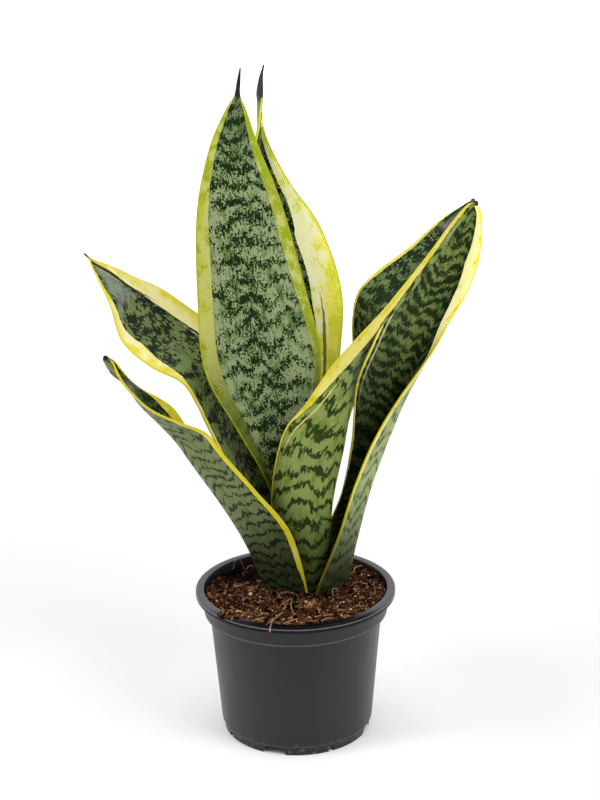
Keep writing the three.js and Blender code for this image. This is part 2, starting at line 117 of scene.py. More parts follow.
def curve_through(points: np.ndarray, at: np.ndarray) -> np.ndarray:
    """Samples the smooth curve through points.

    Args:
        points: Values to pass through, first axis along the curve.
        at: Parameters, a whole number at each point.

    Returns:
        One value for each parameter.
    """
    last = len(points) - 1
    start = np.clip(np.floor(at).astype(int), 0, last - 1)
    f = (at - start).reshape((-1,) + (1,) * (points.ndim - 1))
    padded = np.concatenate(
        [[2 * points[0] - points[1]], points, [2 * points[-1] - points[-2]]]
    )
    a, b, c, d = (padded[start + k] for k in range(4))
    return 0.5 * (
        2 * b
        + (c - a) * f
        + (2 * a - 5 * b + 4 * c - d) * f**2
        + (3 * b - a - 3 * c + d) * f**3
    )


def follow(profile: Profile, at: np.ndarray) -> np.ndarray:
    """Reads a profile of (position, value) pairs at some positions."""
    return np.interp(at, [p[0] for p in profile], [p[1] for p in profile])


def unit(vectors: np.ndarray) -> np.ndarray:
    """Scales vectors to length one."""
    length = np.linalg.norm(vectors, axis=-1, keepdims=True)
    return vectors / np.maximum(length, 1e-9)


def circle(sides: int) -> list[tuple[float, float]]:
    """Cosine and sine at even steps round a circle."""
    turns = [2 * math.pi * s / sides for s in range(sides)]
    return [(math.cos(turn), math.sin(turn)) for turn in turns]


def mesh_object(
    name: str, points: np.ndarray | Sequence[Point], faces: Sequence[Sequence[int]]
) -> bpy.types.Object:
    """Makes a smooth mesh object in the row frame.

    Args:
        name: Name of the piece.
        points: Corners in millimetres from the pot's axis.
        faces: Corner numbers of each face, counter-clockwise from outside.

    Returns:
        The linked object, at the origin.
    """
    mesh = bpy.data.meshes.new(name)
    placed = (np.asarray(points, dtype=float) + POT_AXIS) * MM
    mesh.from_pydata(placed.tolist(), [], [list(map(int, f)) for f in faces])
    mesh.update()
    mesh.shade_smooth()
    piece = bpy.data.objects.new(name, mesh)
    bpy.context.scene.collection.objects.link(piece)
    return piece


def bake_modifiers(piece: bpy.types.Object) -> None:
    """Turns the evaluated shape of a piece into its plain mesh and drops its modifiers.

    Args:
        piece: The piece.
    """
    graph = bpy.context.evaluated_depsgraph_get()
    baked = bpy.data.meshes.new_from_object(piece.evaluated_get(graph))
    baked.name = piece.name
    piece.modifiers.clear()
    old = piece.data
    piece.data = baked
    bpy.data.meshes.remove(old)


# ------------------------------------------------------------------ node trees
class Tree:
    """A node tree that is built from short calls."""

    def __init__(self, tree: bpy.types.NodeTree) -> None:
        """Takes the tree that the nodes go into."""
        self.tree = tree

    def put(self, socket: Any, value: Any) -> None:
        """Links a socket to another, or sets its value."""
        if isinstance(value, bpy.types.NodeSocket):
            self.tree.links.new(value, socket)
        else:
            socket.default_value = value

    def node(self, kind: str, inputs: dict[Any, Any] | None = None, **settings: Any) -> Any:
        """Adds a node.

        Args:
            kind: Type of the node.
            inputs: Values or sockets for its inputs, by name or number.
            settings: The node's own properties.

        Returns:
            The node.
        """
        made = self.tree.nodes.new(kind)
        for key, value in settings.items():
            setattr(made, key, value)
        for key, value in (inputs or {}).items():
            self.put(made.inputs[key], value)
        return made

    def math(self, operation: str, *values: Any) -> Any:
        """Output of a Math node."""
        return self.node("ShaderNodeMath", dict(enumerate(values)), operation=operation).outputs[0]

    def vector(self, x: Any, y: Any, z: Any) -> Any:
        """A vector from three values."""
        return self.node("ShaderNodeCombineXYZ", {0: x, 1: y, 2: z}).outputs[0]


class Graph(Tree):
    """The tree of a new material with one Principled shader."""

    def __init__(self, name: str) -> None:
        """Starts a material whose tree holds only an output and the shader.

        Args:
            name: Name of the material.
        """
        self.material = bpy.data.materials.new(name)
        self.material.use_nodes = True
        super().__init__(self.material.node_tree)
        self.tree.nodes.clear()
        self.shader = self.node("ShaderNodeBsdfPrincipled")
        self.node("ShaderNodeOutputMaterial", {"Surface": self.shader.outputs[0]})

    def add(self, *values: Any) -> Any:
        """Sum of any number of values.

        Args:
            values: Numbers or sockets.

        Returns:
            The sum.
        """
        total = values[0]
        for value in values[1:]:
            total = self.math("ADD", total, value)
        return total

    def times(self, a: Any, b: Any) -> Any:
        """Product of two values."""
        return self.math("MULTIPLY", a, b)

    def rest(self, share: Any) -> Any:
        """What a share leaves of one."""
        return self.math("SUBTRACT", 1.0, share)

    def centred(self, value: Any, gain: float) -> Any:
        """A noise value moved to lie round zero and multiplied by a gain."""
        return self.times(self.math("SUBTRACT", value, 0.5), gain)

    def dying(self, distance: Any, reach: float) -> Any:
        """A share that is 1 at no distance and falls by a factor of e with each reach."""
        return self.math("POWER", math.e, self.times(distance, -1 / reach))

    def step(self, value: Any, low: float, high: float) -> Any:
        """Smooth rise from 0 to 1 while value goes from low to high."""
        inputs = {"Value": value, "From Min": low, "From Max": high}
        return self.node("ShaderNodeMapRange", inputs, interpolation_type="SMOOTHSTEP").outputs[0]

    def line(self, height: Any, z: float) -> Any:
        """1 on a line about a millimetre wide round the piece at a height."""
        return self.step(self.math("ABSOLUTE", self.add(height, -z)), 0.0005, 0.0002)

    def split(self, vector: Any) -> Sequence[Any]:
        """The three parts of a vector."""
        return self.node("ShaderNodeSeparateXYZ", {0: vector}).outputs[:3]

    def scaled(self, vector: Any, stretch: Point) -> Any:
        """A vector stretched along each axis."""
        inputs = {0: vector, 1: stretch}
        return self.node("ShaderNodeVectorMath", inputs, operation="MULTIPLY").outputs[0]

    def away(self, vector: Any, point: Point) -> Any:
        """Distance of a vector from a point."""
        inputs = {0: vector, 1: point}
        return self.node("ShaderNodeVectorMath", inputs, operation="DISTANCE").outputs["Value"]

    def mix(self, share: Any, a: Any, b: Any) -> Any:
        """Colour a where share is 0, and b where it is 1."""
        return self.node("ShaderNodeMix", {0: share, 6: a, 7: b}, data_type="RGBA").outputs[2]

    def attribute(self, name: str) -> Any:
        """The Attribute node of a named mesh attribute."""
        return self.node("ShaderNodeAttribute", attribute_name=name)

    def place(self) -> Any:
        """The point on the piece, in metres."""
        return self.node("ShaderNodeTexCoord").outputs["Object"]

    def bump(self, height: Any, strength: float, distance: float) -> None:
        """Gives the shader a relief from a height."""
        inputs = {"Strength": strength, "Distance": distance, "Height": height}
        self.put(self.shader.inputs["Normal"], self.node("ShaderNodeBump", inputs).outputs[0])

    def set(self, **values: Any) -> None:
        """Sets or links sockets of the shader, with _ for a space in their names."""
        for key, value in values.items():
            self.put(self.shader.inputs[key.replace("_", " ")], value)


@dataclass(frozen=True)
class Cloud:
    """A noise from 0 to 1: its scale, detail, roughness and stretch along each axis."""

    scale: float = 1.0
    detail: float = 2.0
    rough: float = 0.5
    stretch: Point | None = None

    def on(self, g: Graph, place: Any) -> Any:
        """The noise at a place."""
        inputs = {
            "Vector": g.scaled(place, self.stretch) if self.stretch else place,
            "Scale": self.scale,
            "Detail": self.detail,
            "Roughness": self.rough,
        }
        return g.node("ShaderNodeTexNoise", inputs, noise_dimensions="3D").outputs[0]


def blade_cloud(across: float, along: float, detail: float = 2.0, rough: float = 0.5) -> Cloud:
    """A noise over a blade, by how often it changes in a millimetre across and along."""
    return Cloud(1.0, detail, rough, (across, along, 1.0))


class Recipe(Tree):
    """A geometry node tree with named inputs that is run on a piece."""

    def __init__(self, name: str) -> None:
        """Starts a tree that takes and gives geometry.

        Args:
            name: Name of the tree.
        """
        super().__init__(bpy.data.node_groups.new(name, "GeometryNodeTree"))
        face = self.tree.interface
        face.new_socket("Geometry", in_out="INPUT", socket_type="NodeSocketGeometry")
        face.new_socket("Geometry", in_out="OUTPUT", socket_type="NodeSocketGeometry")
        self.values: dict[str, Any] = {}
        self.start = self.node("NodeGroupInput")
        self.end = self.node("NodeGroupOutput")

    def input(self, name: str, kind: str, value: Any) -> Any:
        """Adds a named input.

        Args:
            name: Name of the input.
            kind: Float, Int or Material.
            value: What it is set to on the modifier.

        Returns:
            The input's output socket inside the tree.
        """
        made = self.tree.interface.new_socket(
            name, in_out="INPUT", socket_type="NodeSocket" + kind
        )
        self.values[made.identifier] = value
        return self.start.outputs[name]

    def random(self, low: Any, high: Any, seed: Any) -> Any:
        """A random value, or a vector where low and high are vectors, for each element.

        Args:
            low: Least value.
            high: Greatest value.
            seed: Seed of the draw.

        Returns:
            The value as a socket.
        """
        vector = isinstance(low, tuple)
        first = 0 if vector else 2
        inputs = {first: low, first + 1: high, "Seed": seed}
        kind = "FLOAT_VECTOR" if vector else "FLOAT"
        made = self.node("FunctionNodeRandomValue", inputs, data_type=kind)
        return made.outputs[0 if vector else 1]

    def spread(self, density: Any, seed: Any) -> Any:
        """Random points on the piece's faces."""
        inputs = {"Mesh": self.start.outputs["Geometry"], "Density": density, "Seed": seed}
        return self.node("GeometryNodeDistributePointsOnFaces", inputs).outputs["Points"]

    def instances(self, points: Any, instance: Any, **inputs: Any) -> Any:
        """Copies of a shape on points, with their Rotation and Scale."""
        inputs = {"Points": points, "Instance": instance, **inputs}
        return self.node("GeometryNodeInstanceOnPoints", inputs).outputs[0]

    def toned(self, copies: Any, low: float, seed: Any) -> Any:
        """Gives each copy its own tone, from low to 1.

        Args:
            copies: The copies.
            low: Least tone.
            seed: Seed of the draw.

        Returns:
            The copies with the tone as an attribute.
        """
        inputs = {"Geometry": copies, "Name": "tone", "Value": self.random(low, 1.0, seed)}
        made = self.node(
            "GeometryNodeStoreNamedAttribute", inputs, data_type="FLOAT", domain="INSTANCE"
        )
        return made.outputs[0]

    def real(self, geometry: Any) -> Any:
        """Turns instances into real geometry."""
        return self.node("GeometryNodeRealizeInstances", {0: geometry}).outputs[0]

    def finish(self, geometry: Any, material: Any) -> None:
        """Ends the tree in Realize Instances and Set Material."""
        inputs = {"Geometry": self.real(geometry), "Material": material}
        self.put(self.end.inputs[0], self.node("GeometryNodeSetMaterial", inputs).outputs[0])

    def run(self, piece: bpy.types.Object) -> None:
        """Applies the tree to a piece and leaves a plain mesh.

        Args:
            piece: The piece.
        """
        modifier = piece.modifiers.new(self.tree.name, "NODES")
        modifier.node_group = self.tree
        for identifier, value in self.values.items():
            modifier[identifier] = value
        bake_modifiers(piece)


# ------------------------------------------------------------------ finishes
BLADE_CLOUDS = (
    blade_cloud(0.75, 0.3, 1.0),  # stroke
    blade_cloud(1.35, 0.8, 0.0),  # grain
    blade_cloud(0.07, 0.08, 3.0, 0.6),  # blot
    blade_cloud(0.08, 0.02),  # sway
    blade_cloud(0.3, 0.1, 1.0),  # tremble
    blade_cloud(0.2, 0.07, 3.0, 0.55),  # wash
    blade_cloud(0.13, 0.08),  # mottle
    blade_cloud(2.8, 0.05),  # fibre
)
STRIPE_NAMES = ("stripe_a", "stripe_b")


class Blade(Graph):
    """The tree of a leaf's material, with the blade's own coordinates and its noises.

    Across is measured from the keel and along from the foot. Back is 1 on the outer face.
    Yellow is the depth inside the margin's band, and border is the same with a ragged line.
    Edge and tip are the distances from them.
    """

    def __init__(self, name: str, seed: float, ragged: float) -> None:
        """Reads the attributes that the blade carries and lays the noises over it.

        Args:
            name: Name of the material.
            seed: Shifts the noises.
            ragged: How far the border strays.
        """
        super().__init__(name)
        self.across, self.along, face = self.split(self.attribute("lie").outputs["Vector"])
        self.yellow, self.edge, self.tip = self.split(self.attribute("zone").outputs["Vector"])
        self.back = self.step(face, 0.45, 0.55)
        shifted = self.add(self.across, seed * 37.0)
        place = self.vector(shifted, self.along, self.times(self.back, 60.0))
        noises = [cloud.on(self, place) for cloud in BLADE_CLOUDS]
        self.stroke, self.grain, self.blot, self.sway = noises[:4]
        self.tremble, self.wash, self.mottle, self.fibre = noises[4:]
        self.border = self.add(self.yellow, self.centred(self.stroke, ragged))


@dataclass(frozen=True)
class Marks:
    """Green markings of one face of a leaf: dark bands and specks over a pale ground.

    A point is dark where its level is over 0. Band, stroke, grain, blot and keel are what the
    bands, the noises and the keel add to it, and sharp narrows the bands. A pair holds where
    a change begins and ends.
    """

    pale: Colour = seen(160, 176, 128)
    fresh: Colour = seen(100, 126, 62)
    dark: Colour = seen(14, 42, 2)
    period: float = 14.0
    foot_period: float = 6.5
    foot_reach: float = 45.0
    level: float = -0.16
    band: float = 0.42
    sharp: float = 1.0
    stroke: float = 3.4
    grain: float = 3.4
    blot: float = 3.4
    keel: float = 0.3
    keel_reach: float = 24.0
    keel_limit: float = 1.6
    soft: float = 0.12
    sway: float = 3.0
    tremble: float = 0.8
    arch: float = 0.018
    tip_squeeze: float = 0.0
    tip_reach: float = 55.0
    tip_shade: float = 0.0
    tip_ragged: float = 60.0
    tip_fade: Step = (70.0, 14.0)
    wash: Step = (0.46, 0.72)
    fringe: Step = (-0.5, 0.05)
    fringe_share: float = 0.6

    def paint(self, g: Blade, seed: float) -> tuple[Any, Any]:
        """Lays out the markings.

        Args:
            g: The material's graph.
            seed: Shifts the bands.

        Returns:
            The colour, and the level that is over 0 in the dark marks.
        """
        turns = g.add(
            g.times(g.along, 1 / self.period),
            g.times(
                g.rest(g.dying(g.along, self.foot_reach)),
                self.foot_reach * (1 / self.foot_period - 1 / self.period),
            ),
            g.centred(g.sway, self.sway),
            g.centred(g.tremble, self.tremble),
            g.times(g.math("ABSOLUTE", g.across), self.arch),
            g.times(g.dying(g.tip, self.tip_reach), self.tip_squeeze),
            seed,
        )
        wave = g.math("SINE", g.times(turns, 2 * math.pi))
        crest = g.math("POWER", g.add(g.times(wave, 0.5), 0.5), self.sharp)
        middle = g.math("POWER", g.math("ABSOLUTE", g.times(g.across, 1 / self.keel_reach)), 2.0)
        middle = g.math("MINIMUM", middle, self.keel_limit)
        level = g.add(
            g.centred(crest, 2 * self.band),
            g.centred(g.stroke, self.stroke),
            g.centred(g.grain, self.grain),
            g.centred(g.blot, self.blot),
            g.times(g.rest(middle), self.keel),
            self.level,
        )
        green = g.mix(g.step(g.wash, *self.wash), self.pale, self.fresh)
        green = g.mix(g.times(g.step(level, *self.fringe), self.fringe_share), green, self.fresh)
        near_tip = g.step(g.add(g.tip, g.centred(g.blot, self.tip_ragged)), *self.tip_fade)
        green = g.mix(g.times(near_tip, self.tip_shade), green, self.dark)
        return g.mix(g.step(level, -self.soft, self.soft), green, self.dark), level


INNER_FACE = Marks()
OUTER_FACE = Marks(
    pale=seen(138, 150, 92),
    fresh=seen(104, 122, 56),
    dark=seen(46, 62, 26),
    level=-0.3,
    band=0.75,
    sharp=1.5,
    stroke=3.2,
    grain=1.0,
    blot=2.0,
    keel=0.0,
    soft=0.22,
)

@dataclass(frozen=True)
class LeafSkin:
    """Waxy leaf: banded green, yellow margins, dark tip, a foot darkened partly by painted shade, a
    painted sheen near the tip and a painted glow on the margin.

    Lengths are millimetres over the blade. A pair holds where a change begins and ends.
    """

    name: str
    seed: float = 0.0
    inner: Marks = INNER_FACE
    outer: Marks = OUTER_FACE
    cream: Colour = seen(236, 230, 158)
    yellow: Colour = seen(230, 214, 66)
    lime: Colour = seen(176, 186, 34)
    moss: Colour = seen(88, 106, 34)
    rim: Colour = seen(214, 204, 44)
    rim_edge: Step = (0.75, 0.35)
    # yellow and lime in the margin
    ripe: float = 0.0
    ripe_low: float = 0.0
    ripe_reach: float = 200.0
    ripe_fade: float = 70.0
    ripe_step: Step = (0.55, 1.0)
    lime_share: float = 0.0
    lime_side: float = 0.0
    lime_edge: float = 0.0
    lime_edge_reach: Step = (3.2, 0.6)
    lime_keel: Step = (-2.0, 6.0)
    lime_step: Step = (-0.2, 0.35)
    lime_most: float = 0.85
    mottle: float = 2.2
    speck: float = 0.35
    # green that spreads over the margin low on the leaf
    fade: float = 0.0
    fade_reach: float = 190.0
    fade_over: float = 75.0
    # the line where green and yellow meet
    ragged: float = 1.2
    margin_step: Step = (-0.12, 0.12)
    outline: float = 0.6
    outline_step: Step = (-0.9, -0.3)
    # painted sheen near the tip: a silvery painted reflection
    painted_sheen: Colour = seen(150, 154, 154)
    painted_sheen_reach: float = 0.0
    hatch: Cloud = blade_cloud(0.35, 2.2, 2.0, 0.6)
    # tip and foot; the foot's darkening is partly the leaf's own darker base and partly painted shade
    # where the leaves crowd at the crown
    tip: Colour = seen(38, 44, 40)
    tip_length: float = 3.0
    tip_ragged: float = 9.0
    tip_soft: float = 2.0
    foot: Colour = seen(14, 24, 8)
    foot_reach: float = 34.0
    foot_full: float = 0.35
    foot_gain: float = 0.7
    foot_sway: float = 22.0
    foot_on_yellow: float = 0.2
    foot_back: float = 0.0
    foot_back_full: float = 20.0
    foot_back_sway: float = 12.0
    # surface; the glow is painted light: the margin emits its own colour, standing in for light that
    # shines through it
    shine: float = 0.4
    gloss: float = 0.06
    relief: float = 0.28
    relief_depth: float = 0.0012
    glow: float = 0.0
    painted_glow_from: float = 0.0
    painted_glow_over: float = 50.0

    def build(self) -> bpy.types.Material:
        """Makes the material from the attributes that the blade carries.

        Returns:
            The material.
        """
        g = Blade(self.name, self.seed, self.ragged)
        inner, inner_level = self.inner.paint(g, self.seed)
        outer, outer_level = self.outer.paint(g, self.seed + 0.4)
        level = g.add(g.times(inner_level, g.rest(g.back)), g.times(outer_level, g.back))
        green = g.mix(g.back, inner, outer)
        # painted reflection: a silvery sheen on the inner face near the tip
        if self.painted_sheen_reach:
            green = g.mix(self.painted_sheen_mask(g), green, self.painted_sheen)
        line = g.times(g.step(g.border, *self.outline_step), self.outline)
        green = g.mix(line, green, self.inner.dark)
        in_margin = g.step(g.border, *self.margin_step)
        skin = g.mix(in_margin, green, self.margin(g, level))
        for name in STRIPE_NAMES:
            skin = self.stripe(g, skin, name, g.stroke)
        skin = g.mix(g.step(g.edge, *self.rim_edge), skin, self.rim)
        skin = self.ends(g, skin)
        self.surface(g, skin, in_margin)
        return g.material

    def painted_sheen_mask(self, g: Blade) -> Any:
        """Where a silvery painted sheen, a painted reflection, lies on the inner face near the tip,
        hatched across.

        Args:
            g: The material's graph.

        Returns:
            The share of the painted sheen as a socket.
        """
        hatch = self.hatch.on(g, g.vector(g.across, g.along, 0.0))
        reach = g.add(g.tip, g.centred(g.stroke, 6.0), g.centred(g.sway, 14.0))
        near = g.step(reach, self.painted_sheen_reach + 2, self.painted_sheen_reach - 4)
        mask = g.times(near, g.step(g.yellow, -1.2, -4.5))
        mask = g.times(mask, g.rest(g.back))
        return g.times(mask, g.add(0.25, g.times(g.step(hatch, 0.3, 0.7), 0.6)))

    def margin(self, g: Blade, level: Any) -> Any:
        """Colour of the yellow margin: cream inside, lime in specks and bands, mossy low.

        Args:
            g: The material's graph.
            level: Level of the green's dark pattern.

        Returns:
            The colour as a socket.
        """
        cloud, edge = g.mottle, g.edge
        low = g.step(g.along, self.ripe_reach, self.ripe_reach - self.ripe_fade)
        low = g.times(low, self.ripe_low)
        rich = g.add(g.times(cloud, 1.4), g.times(edge, -0.05), g.times(g.wash, 0.3), low, self.ripe)
        base = g.mix(g.step(rich, *self.ripe_step), self.cream, self.yellow)
        green = g.add(
            g.times(level, self.speck),
            g.centred(cloud, self.mottle),
            g.times(edge, -0.035),
            g.times(g.step(g.across, *self.lime_keel), self.lime_side),
            g.times(g.step(edge, *self.lime_edge_reach), self.lime_edge),
            g.times(low, 0.5),
            self.lime_share - 0.25,
        )
        colour = g.mix(g.times(g.step(green, *self.lime_step), self.lime_most), base, self.lime)
        if not self.fade:
            return colour
        faded = g.times(g.step(g.along, self.fade_reach, self.fade_reach - self.fade_over), self.fade)
        faded = g.times(faded, g.step(edge, 0.2, 1.4))
        moss = g.mix(g.step(level, -0.1, 0.5), self.moss, self.inner.dark)
        return g.mix(faded, colour, moss)

    def stripe(self, g: Graph, skin: Any, name: str, stroke: Any) -> Any:
        """Lays one lengthwise stripe over the skin.

        Args:
            g: The material's graph.
            skin: Colour under the stripe.
            name: Attribute with the distance from the stripe's line, half its width and
                its kind, 1 for pale and -1 for dark.
            stroke: Noise of short lengthwise strokes.

        Returns:
            The colour with the stripe.
        """
        away, half, kind = g.split(g.attribute(name).outputs["Vector"])
        inside = g.math("SUBTRACT", g.add(half, g.centred(stroke, 1.0)), g.math("ABSOLUTE", away))
        mask = g.times(g.step(inside, -0.1, 0.3), g.step(half, 0.02, 0.15))
        colour = g.mix(g.step(kind, -0.5, 0.5), self.inner.dark, self.cream)
        return g.mix(g.times(mask, 0.8), skin, colour)

    def ends(self, g: Blade, skin: Any) -> Any:
        """Darkens the tip, and darkens the foot partly in the leaf's own colour and partly with painted
        shade.

        Args:
            g: The material's graph.
            skin: Colour of the blade.

        Returns:
            The colour as a socket.
        """
        ragged = g.add(g.tip, g.centred(g.stroke, min(self.tip_ragged, self.tip_length)))
        tip = g.step(ragged, self.tip_length + self.tip_soft, self.tip_length - self.tip_soft)
        skin = g.mix(tip, skin, self.tip)
        # partly painted shade: the foot darkens towards the crown, over the leaf's own darker base
        low = g.add(g.along, g.centred(g.sway, self.foot_sway))
        low = g.times(g.step(low, self.foot_reach, self.foot_reach * self.foot_full), self.foot_gain)
        on_green = g.times(g.step(g.yellow, 0.5, -0.5), 1 - self.foot_on_yellow)
        low = g.times(low, g.add(on_green, self.foot_on_yellow))
        if self.foot_back:
            behind = g.add(g.along, g.centred(g.sway, self.foot_back_sway))
            behind = g.step(behind, self.foot_back, self.foot_back_full)
            low = g.mix(g.back, low, g.times(behind, self.foot_gain))
        return g.mix(low, skin, self.foot)

    def surface(self, g: Blade, skin: Any, in_margin: Any) -> None:
        """Gives the blade its colour, its fine relief, its shine and a painted glow on its margin.

        Args:
            g: The material's graph.
            skin: Colour of the blade.
            in_margin: 1 in the yellow margin.
        """
        height = g.add(g.times(g.fibre, 0.5), g.times(g.grain, 0.22), g.times(g.blot, 0.5))
        g.bump(height, self.relief, self.relief_depth)
        roughness = g.add(self.shine, g.centred(g.wash, 0.1), g.centred(g.grain, 0.08))
        g.set(Base_Color=skin, Roughness=roughness, Specular_IOR_Level=self.gloss)
        # painted light: the margin emits its own colour, standing in for light that shines through it,
        # only high up the blade where a start is given
        if self.glow:
            lit = g.times(in_margin, self.glow)
            if self.painted_glow_from:
                high = g.step(g.along, self.painted_glow_from - self.painted_glow_over, self.painted_glow_from)
                lit = g.times(lit, high)
            g.set(Emission_Color=skin, Emission_Strength=lit)


@dataclass(frozen=True)
class PotPlastic:
    """Charcoal moulded plastic with a fine satin grain, scuffs, painted highlight lines at two edges and
    dust at the foot.
    """

    colour: Colour = srgb(9, 8, 21)
    worn: Colour = srgb(70, 70, 74)
    # painted highlight: light lines along the collar's lower edge and the wall's lower edge, where those
    # edges catch the light
    edge: Colour = srgb(84, 84, 88)
    dust: Colour = srgb(150, 134, 116)
    highlight_line_z: float = 0.0762
    foot_z: float = 0.0062
    dust_z: Step = (0.012, 0.001)
    roughness: float = 0.4
    patches: Cloud = Cloud(22.0, 3.0, 0.55)
    grain: Cloud = Cloud(1500.0, 2.0, 0.6)
    drawn: Cloud = Cloud(260.0, 2.0, 0.5, (1.0, 1.0, 0.12))
    scuffs: Cloud = Cloud(90.0, 4.0, 0.7, (1.0, 1.0, 5.0))
    specks: Cloud = Cloud(420.0, 3.0, 0.6)

    def build(self) -> bpy.types.Material:
        """Makes the material.

        Returns:
            The material.
        """
        g = Graph("charcoal_plastic")
        place = g.place()
        _, _, height = g.split(place)
        patches = self.patches.on(g, place)
        drawn = self.drawn.on(g, place)
        colour = g.mix(g.step(patches, 0.35, 0.7), self.colour, shaded(self.colour, 0.86))
        scuffs = g.step(self.scuffs.on(g, place), 0.66, 0.78)
        colour = g.mix(g.times(scuffs, 0.3), colour, self.worn)
        # painted highlight lines at the collar's lower edge and at the wall's lower edge
        colour = g.mix(g.times(g.line(height, self.highlight_line_z), 0.8), colour, self.edge)
        colour = g.mix(g.times(g.line(height, self.foot_z), 0.5), colour, self.edge)
        specks = g.times(g.step(height, *self.dust_z), g.step(self.specks.on(g, place), 0.6, 0.68))
        colour = g.mix(g.times(specks, 0.5), colour, self.dust)
        grain = self.grain.on(g, place)
        g.bump(g.add(g.times(grain, 0.5), g.times(drawn, 0.7)), 0.12, 0.0006)
        roughness = g.add(self.roughness, g.centred(patches, 0.14), g.centred(drawn, 0.1))
        g.set(Base_Color=colour, Roughness=roughness, Specular_IOR_Level=0.4)
        return g.material


@dataclass(frozen=True)
class LipPlastic:
    """The pot's lip, polished: painted reflection, near black to the front and paler at its sides, with a
    painted highlight line along its lower edge and painted shade below that line.
    """

    # painted reflection: near black where the lip faces the dark front of the room, paler at its sides
    # where it catches the light
    black: Colour = srgb(5, 5, 10)
    pale: Colour = srgb(82, 82, 86)
    # painted highlight along the lip's lower edge, and painted shade below it
    edge: Colour = srgb(118, 118, 122)
    painted_shade_under_lip: Colour = srgb(20, 20, 23)
    highlight_line_z: float = 0.0884
    painted_reflection_side_y: Step = (-0.047, -0.03)
    grain: Cloud = Cloud(900.0, 2.0, 0.6)
    scuffs: Cloud = Cloud(160.0, 3.0, 0.6)

    def build(self) -> bpy.types.Material:
        """Makes the material.

        Returns:
            The material.
        """
        g = Graph("lip_plastic")
        place = g.place()
        _, depth, height = g.split(place)
        scuffs = self.scuffs.on(g, place)
        # painted reflection: dark front, paler sides
        side = g.step(g.add(depth, g.centred(scuffs, 0.004)), *self.painted_reflection_side_y)
        colour = g.mix(side, self.black, self.pale)
        # painted shade below the edge line, then the painted highlight line along that edge
        below = g.step(height, self.highlight_line_z, self.highlight_line_z - 0.0006)
        colour = g.mix(g.times(below, 0.9), colour, self.painted_shade_under_lip)
        line = g.times(g.line(height, self.highlight_line_z), g.add(0.45, g.times(scuffs, 0.5)))
        colour = g.mix(line, colour, self.edge)
        g.bump(self.grain.on(g, place), 0.1, 0.0004)
        roughness = g.add(0.3, g.centred(scuffs, 0.2))
        g.set(Base_Color=colour, Roughness=roughness, Specular_IOR_Level=0.1)
        return g.material


@dataclass(frozen=True)
class PeatSoil:
    """Crumbly peat: dark brown with reddish, cream and pale bits.

    Each patch makes a round place lighter or darker: its x and y from the pot's axis and its radius in
    millimetres, and how much lighter it is. The darkest, at the left back, is painted shade in the hollow
    there.
    """

    name: str
    deep: Colour = srgb(9, 4, 2)
    brown: Colour = srgb(82, 44, 27)
    russet: Colour = srgb(140, 96, 66)
    straw: Colour = srgb(216, 186, 132)
    straw_share: float = 0.05
    by_piece: bool = False
    fine: Cloud = Cloud(900.0, 4.0, 0.65)
    wide: Cloud = Cloud(130.0, 3.0, 0.6)
    patches: tuple[tuple[float, float, float, float], ...] = (
        # painted shade in the hollow at the left back
        (-34, 30, 21, -0.5),
        (-31, -38, 18, 0.22),
        (-49, -8, 7, 0.3),
        (9, -24, 8, 0.35),
        (0, -54, 26, 0.16),
        (-4, -24, 7, -0.35),
        (8, 2, 24, -0.3),
    )

    def build(self) -> bpy.types.Material:
        """Makes the material. With by_piece the colour follows each crumb's own tone.

        Returns:
            The material.
        """
        g = Graph(self.name)
        place = g.place()
        fine, wide = self.fine.on(g, place), self.wide.on(g, place)
        if self.by_piece:
            tone = g.attribute("tone").outputs["Fac"]
            base = g.add(tone, g.centred(fine, 0.5))
        else:
            tone = wide
            base = g.add(g.times(wide, 0.75), g.times(fine, 0.35))
        x, y, _ = g.split(place)
        level = g.vector(x, y, 0.0)
        for at_x, at_y, radius, gain in self.patches:
            gap = g.away(level, ((at_x + POT_AXIS[0]) * MM, at_y * MM, 0.0))
            near = g.step(gap, radius * MM, radius * 0.3 * MM)
            base = g.add(base, g.times(near, gain))
            tone = g.add(tone, g.times(near, gain * 0.25))
        colour = g.mix(g.step(base, 0.3, 0.62), self.deep, self.brown)
        colour = g.mix(g.step(base, 0.6, 1.0), colour, self.russet)
        pale = g.step(tone, 1.0 - self.straw_share, 1.0 - self.straw_share * 0.6)
        colour = g.mix(g.times(pale, 0.85), colour, self.straw)
        g.bump(g.add(fine, g.times(wide, 0.6)), 0.6, 0.001)
        g.set(Base_Color=colour, Roughness=0.9, Specular_IOR_Level=0.05)
        return g.material


@dataclass(frozen=True)
class RootSkin:
    """Pale dry root."""

    name: str = "root_skin"
    light: Colour = srgb(198, 150, 108)
    shade: Colour = srgb(122, 80, 52)
    wrinkles: Cloud = Cloud(500.0, 4.0, 0.6)

    def build(self) -> bpy.types.Material:
        """Makes the material.

        Returns:
            The material.
        """
        g = Graph(self.name)
        wrinkles = self.wrinkles.on(g, g.place())
        g.bump(wrinkles, 0.5, 0.0008)
        colour = g.mix(g.step(wrinkles, 0.3, 0.7), self.shade, self.light)
        g.set(Base_Color=colour, Roughness=0.75, Specular_IOR_Level=0.25)
        return g.material


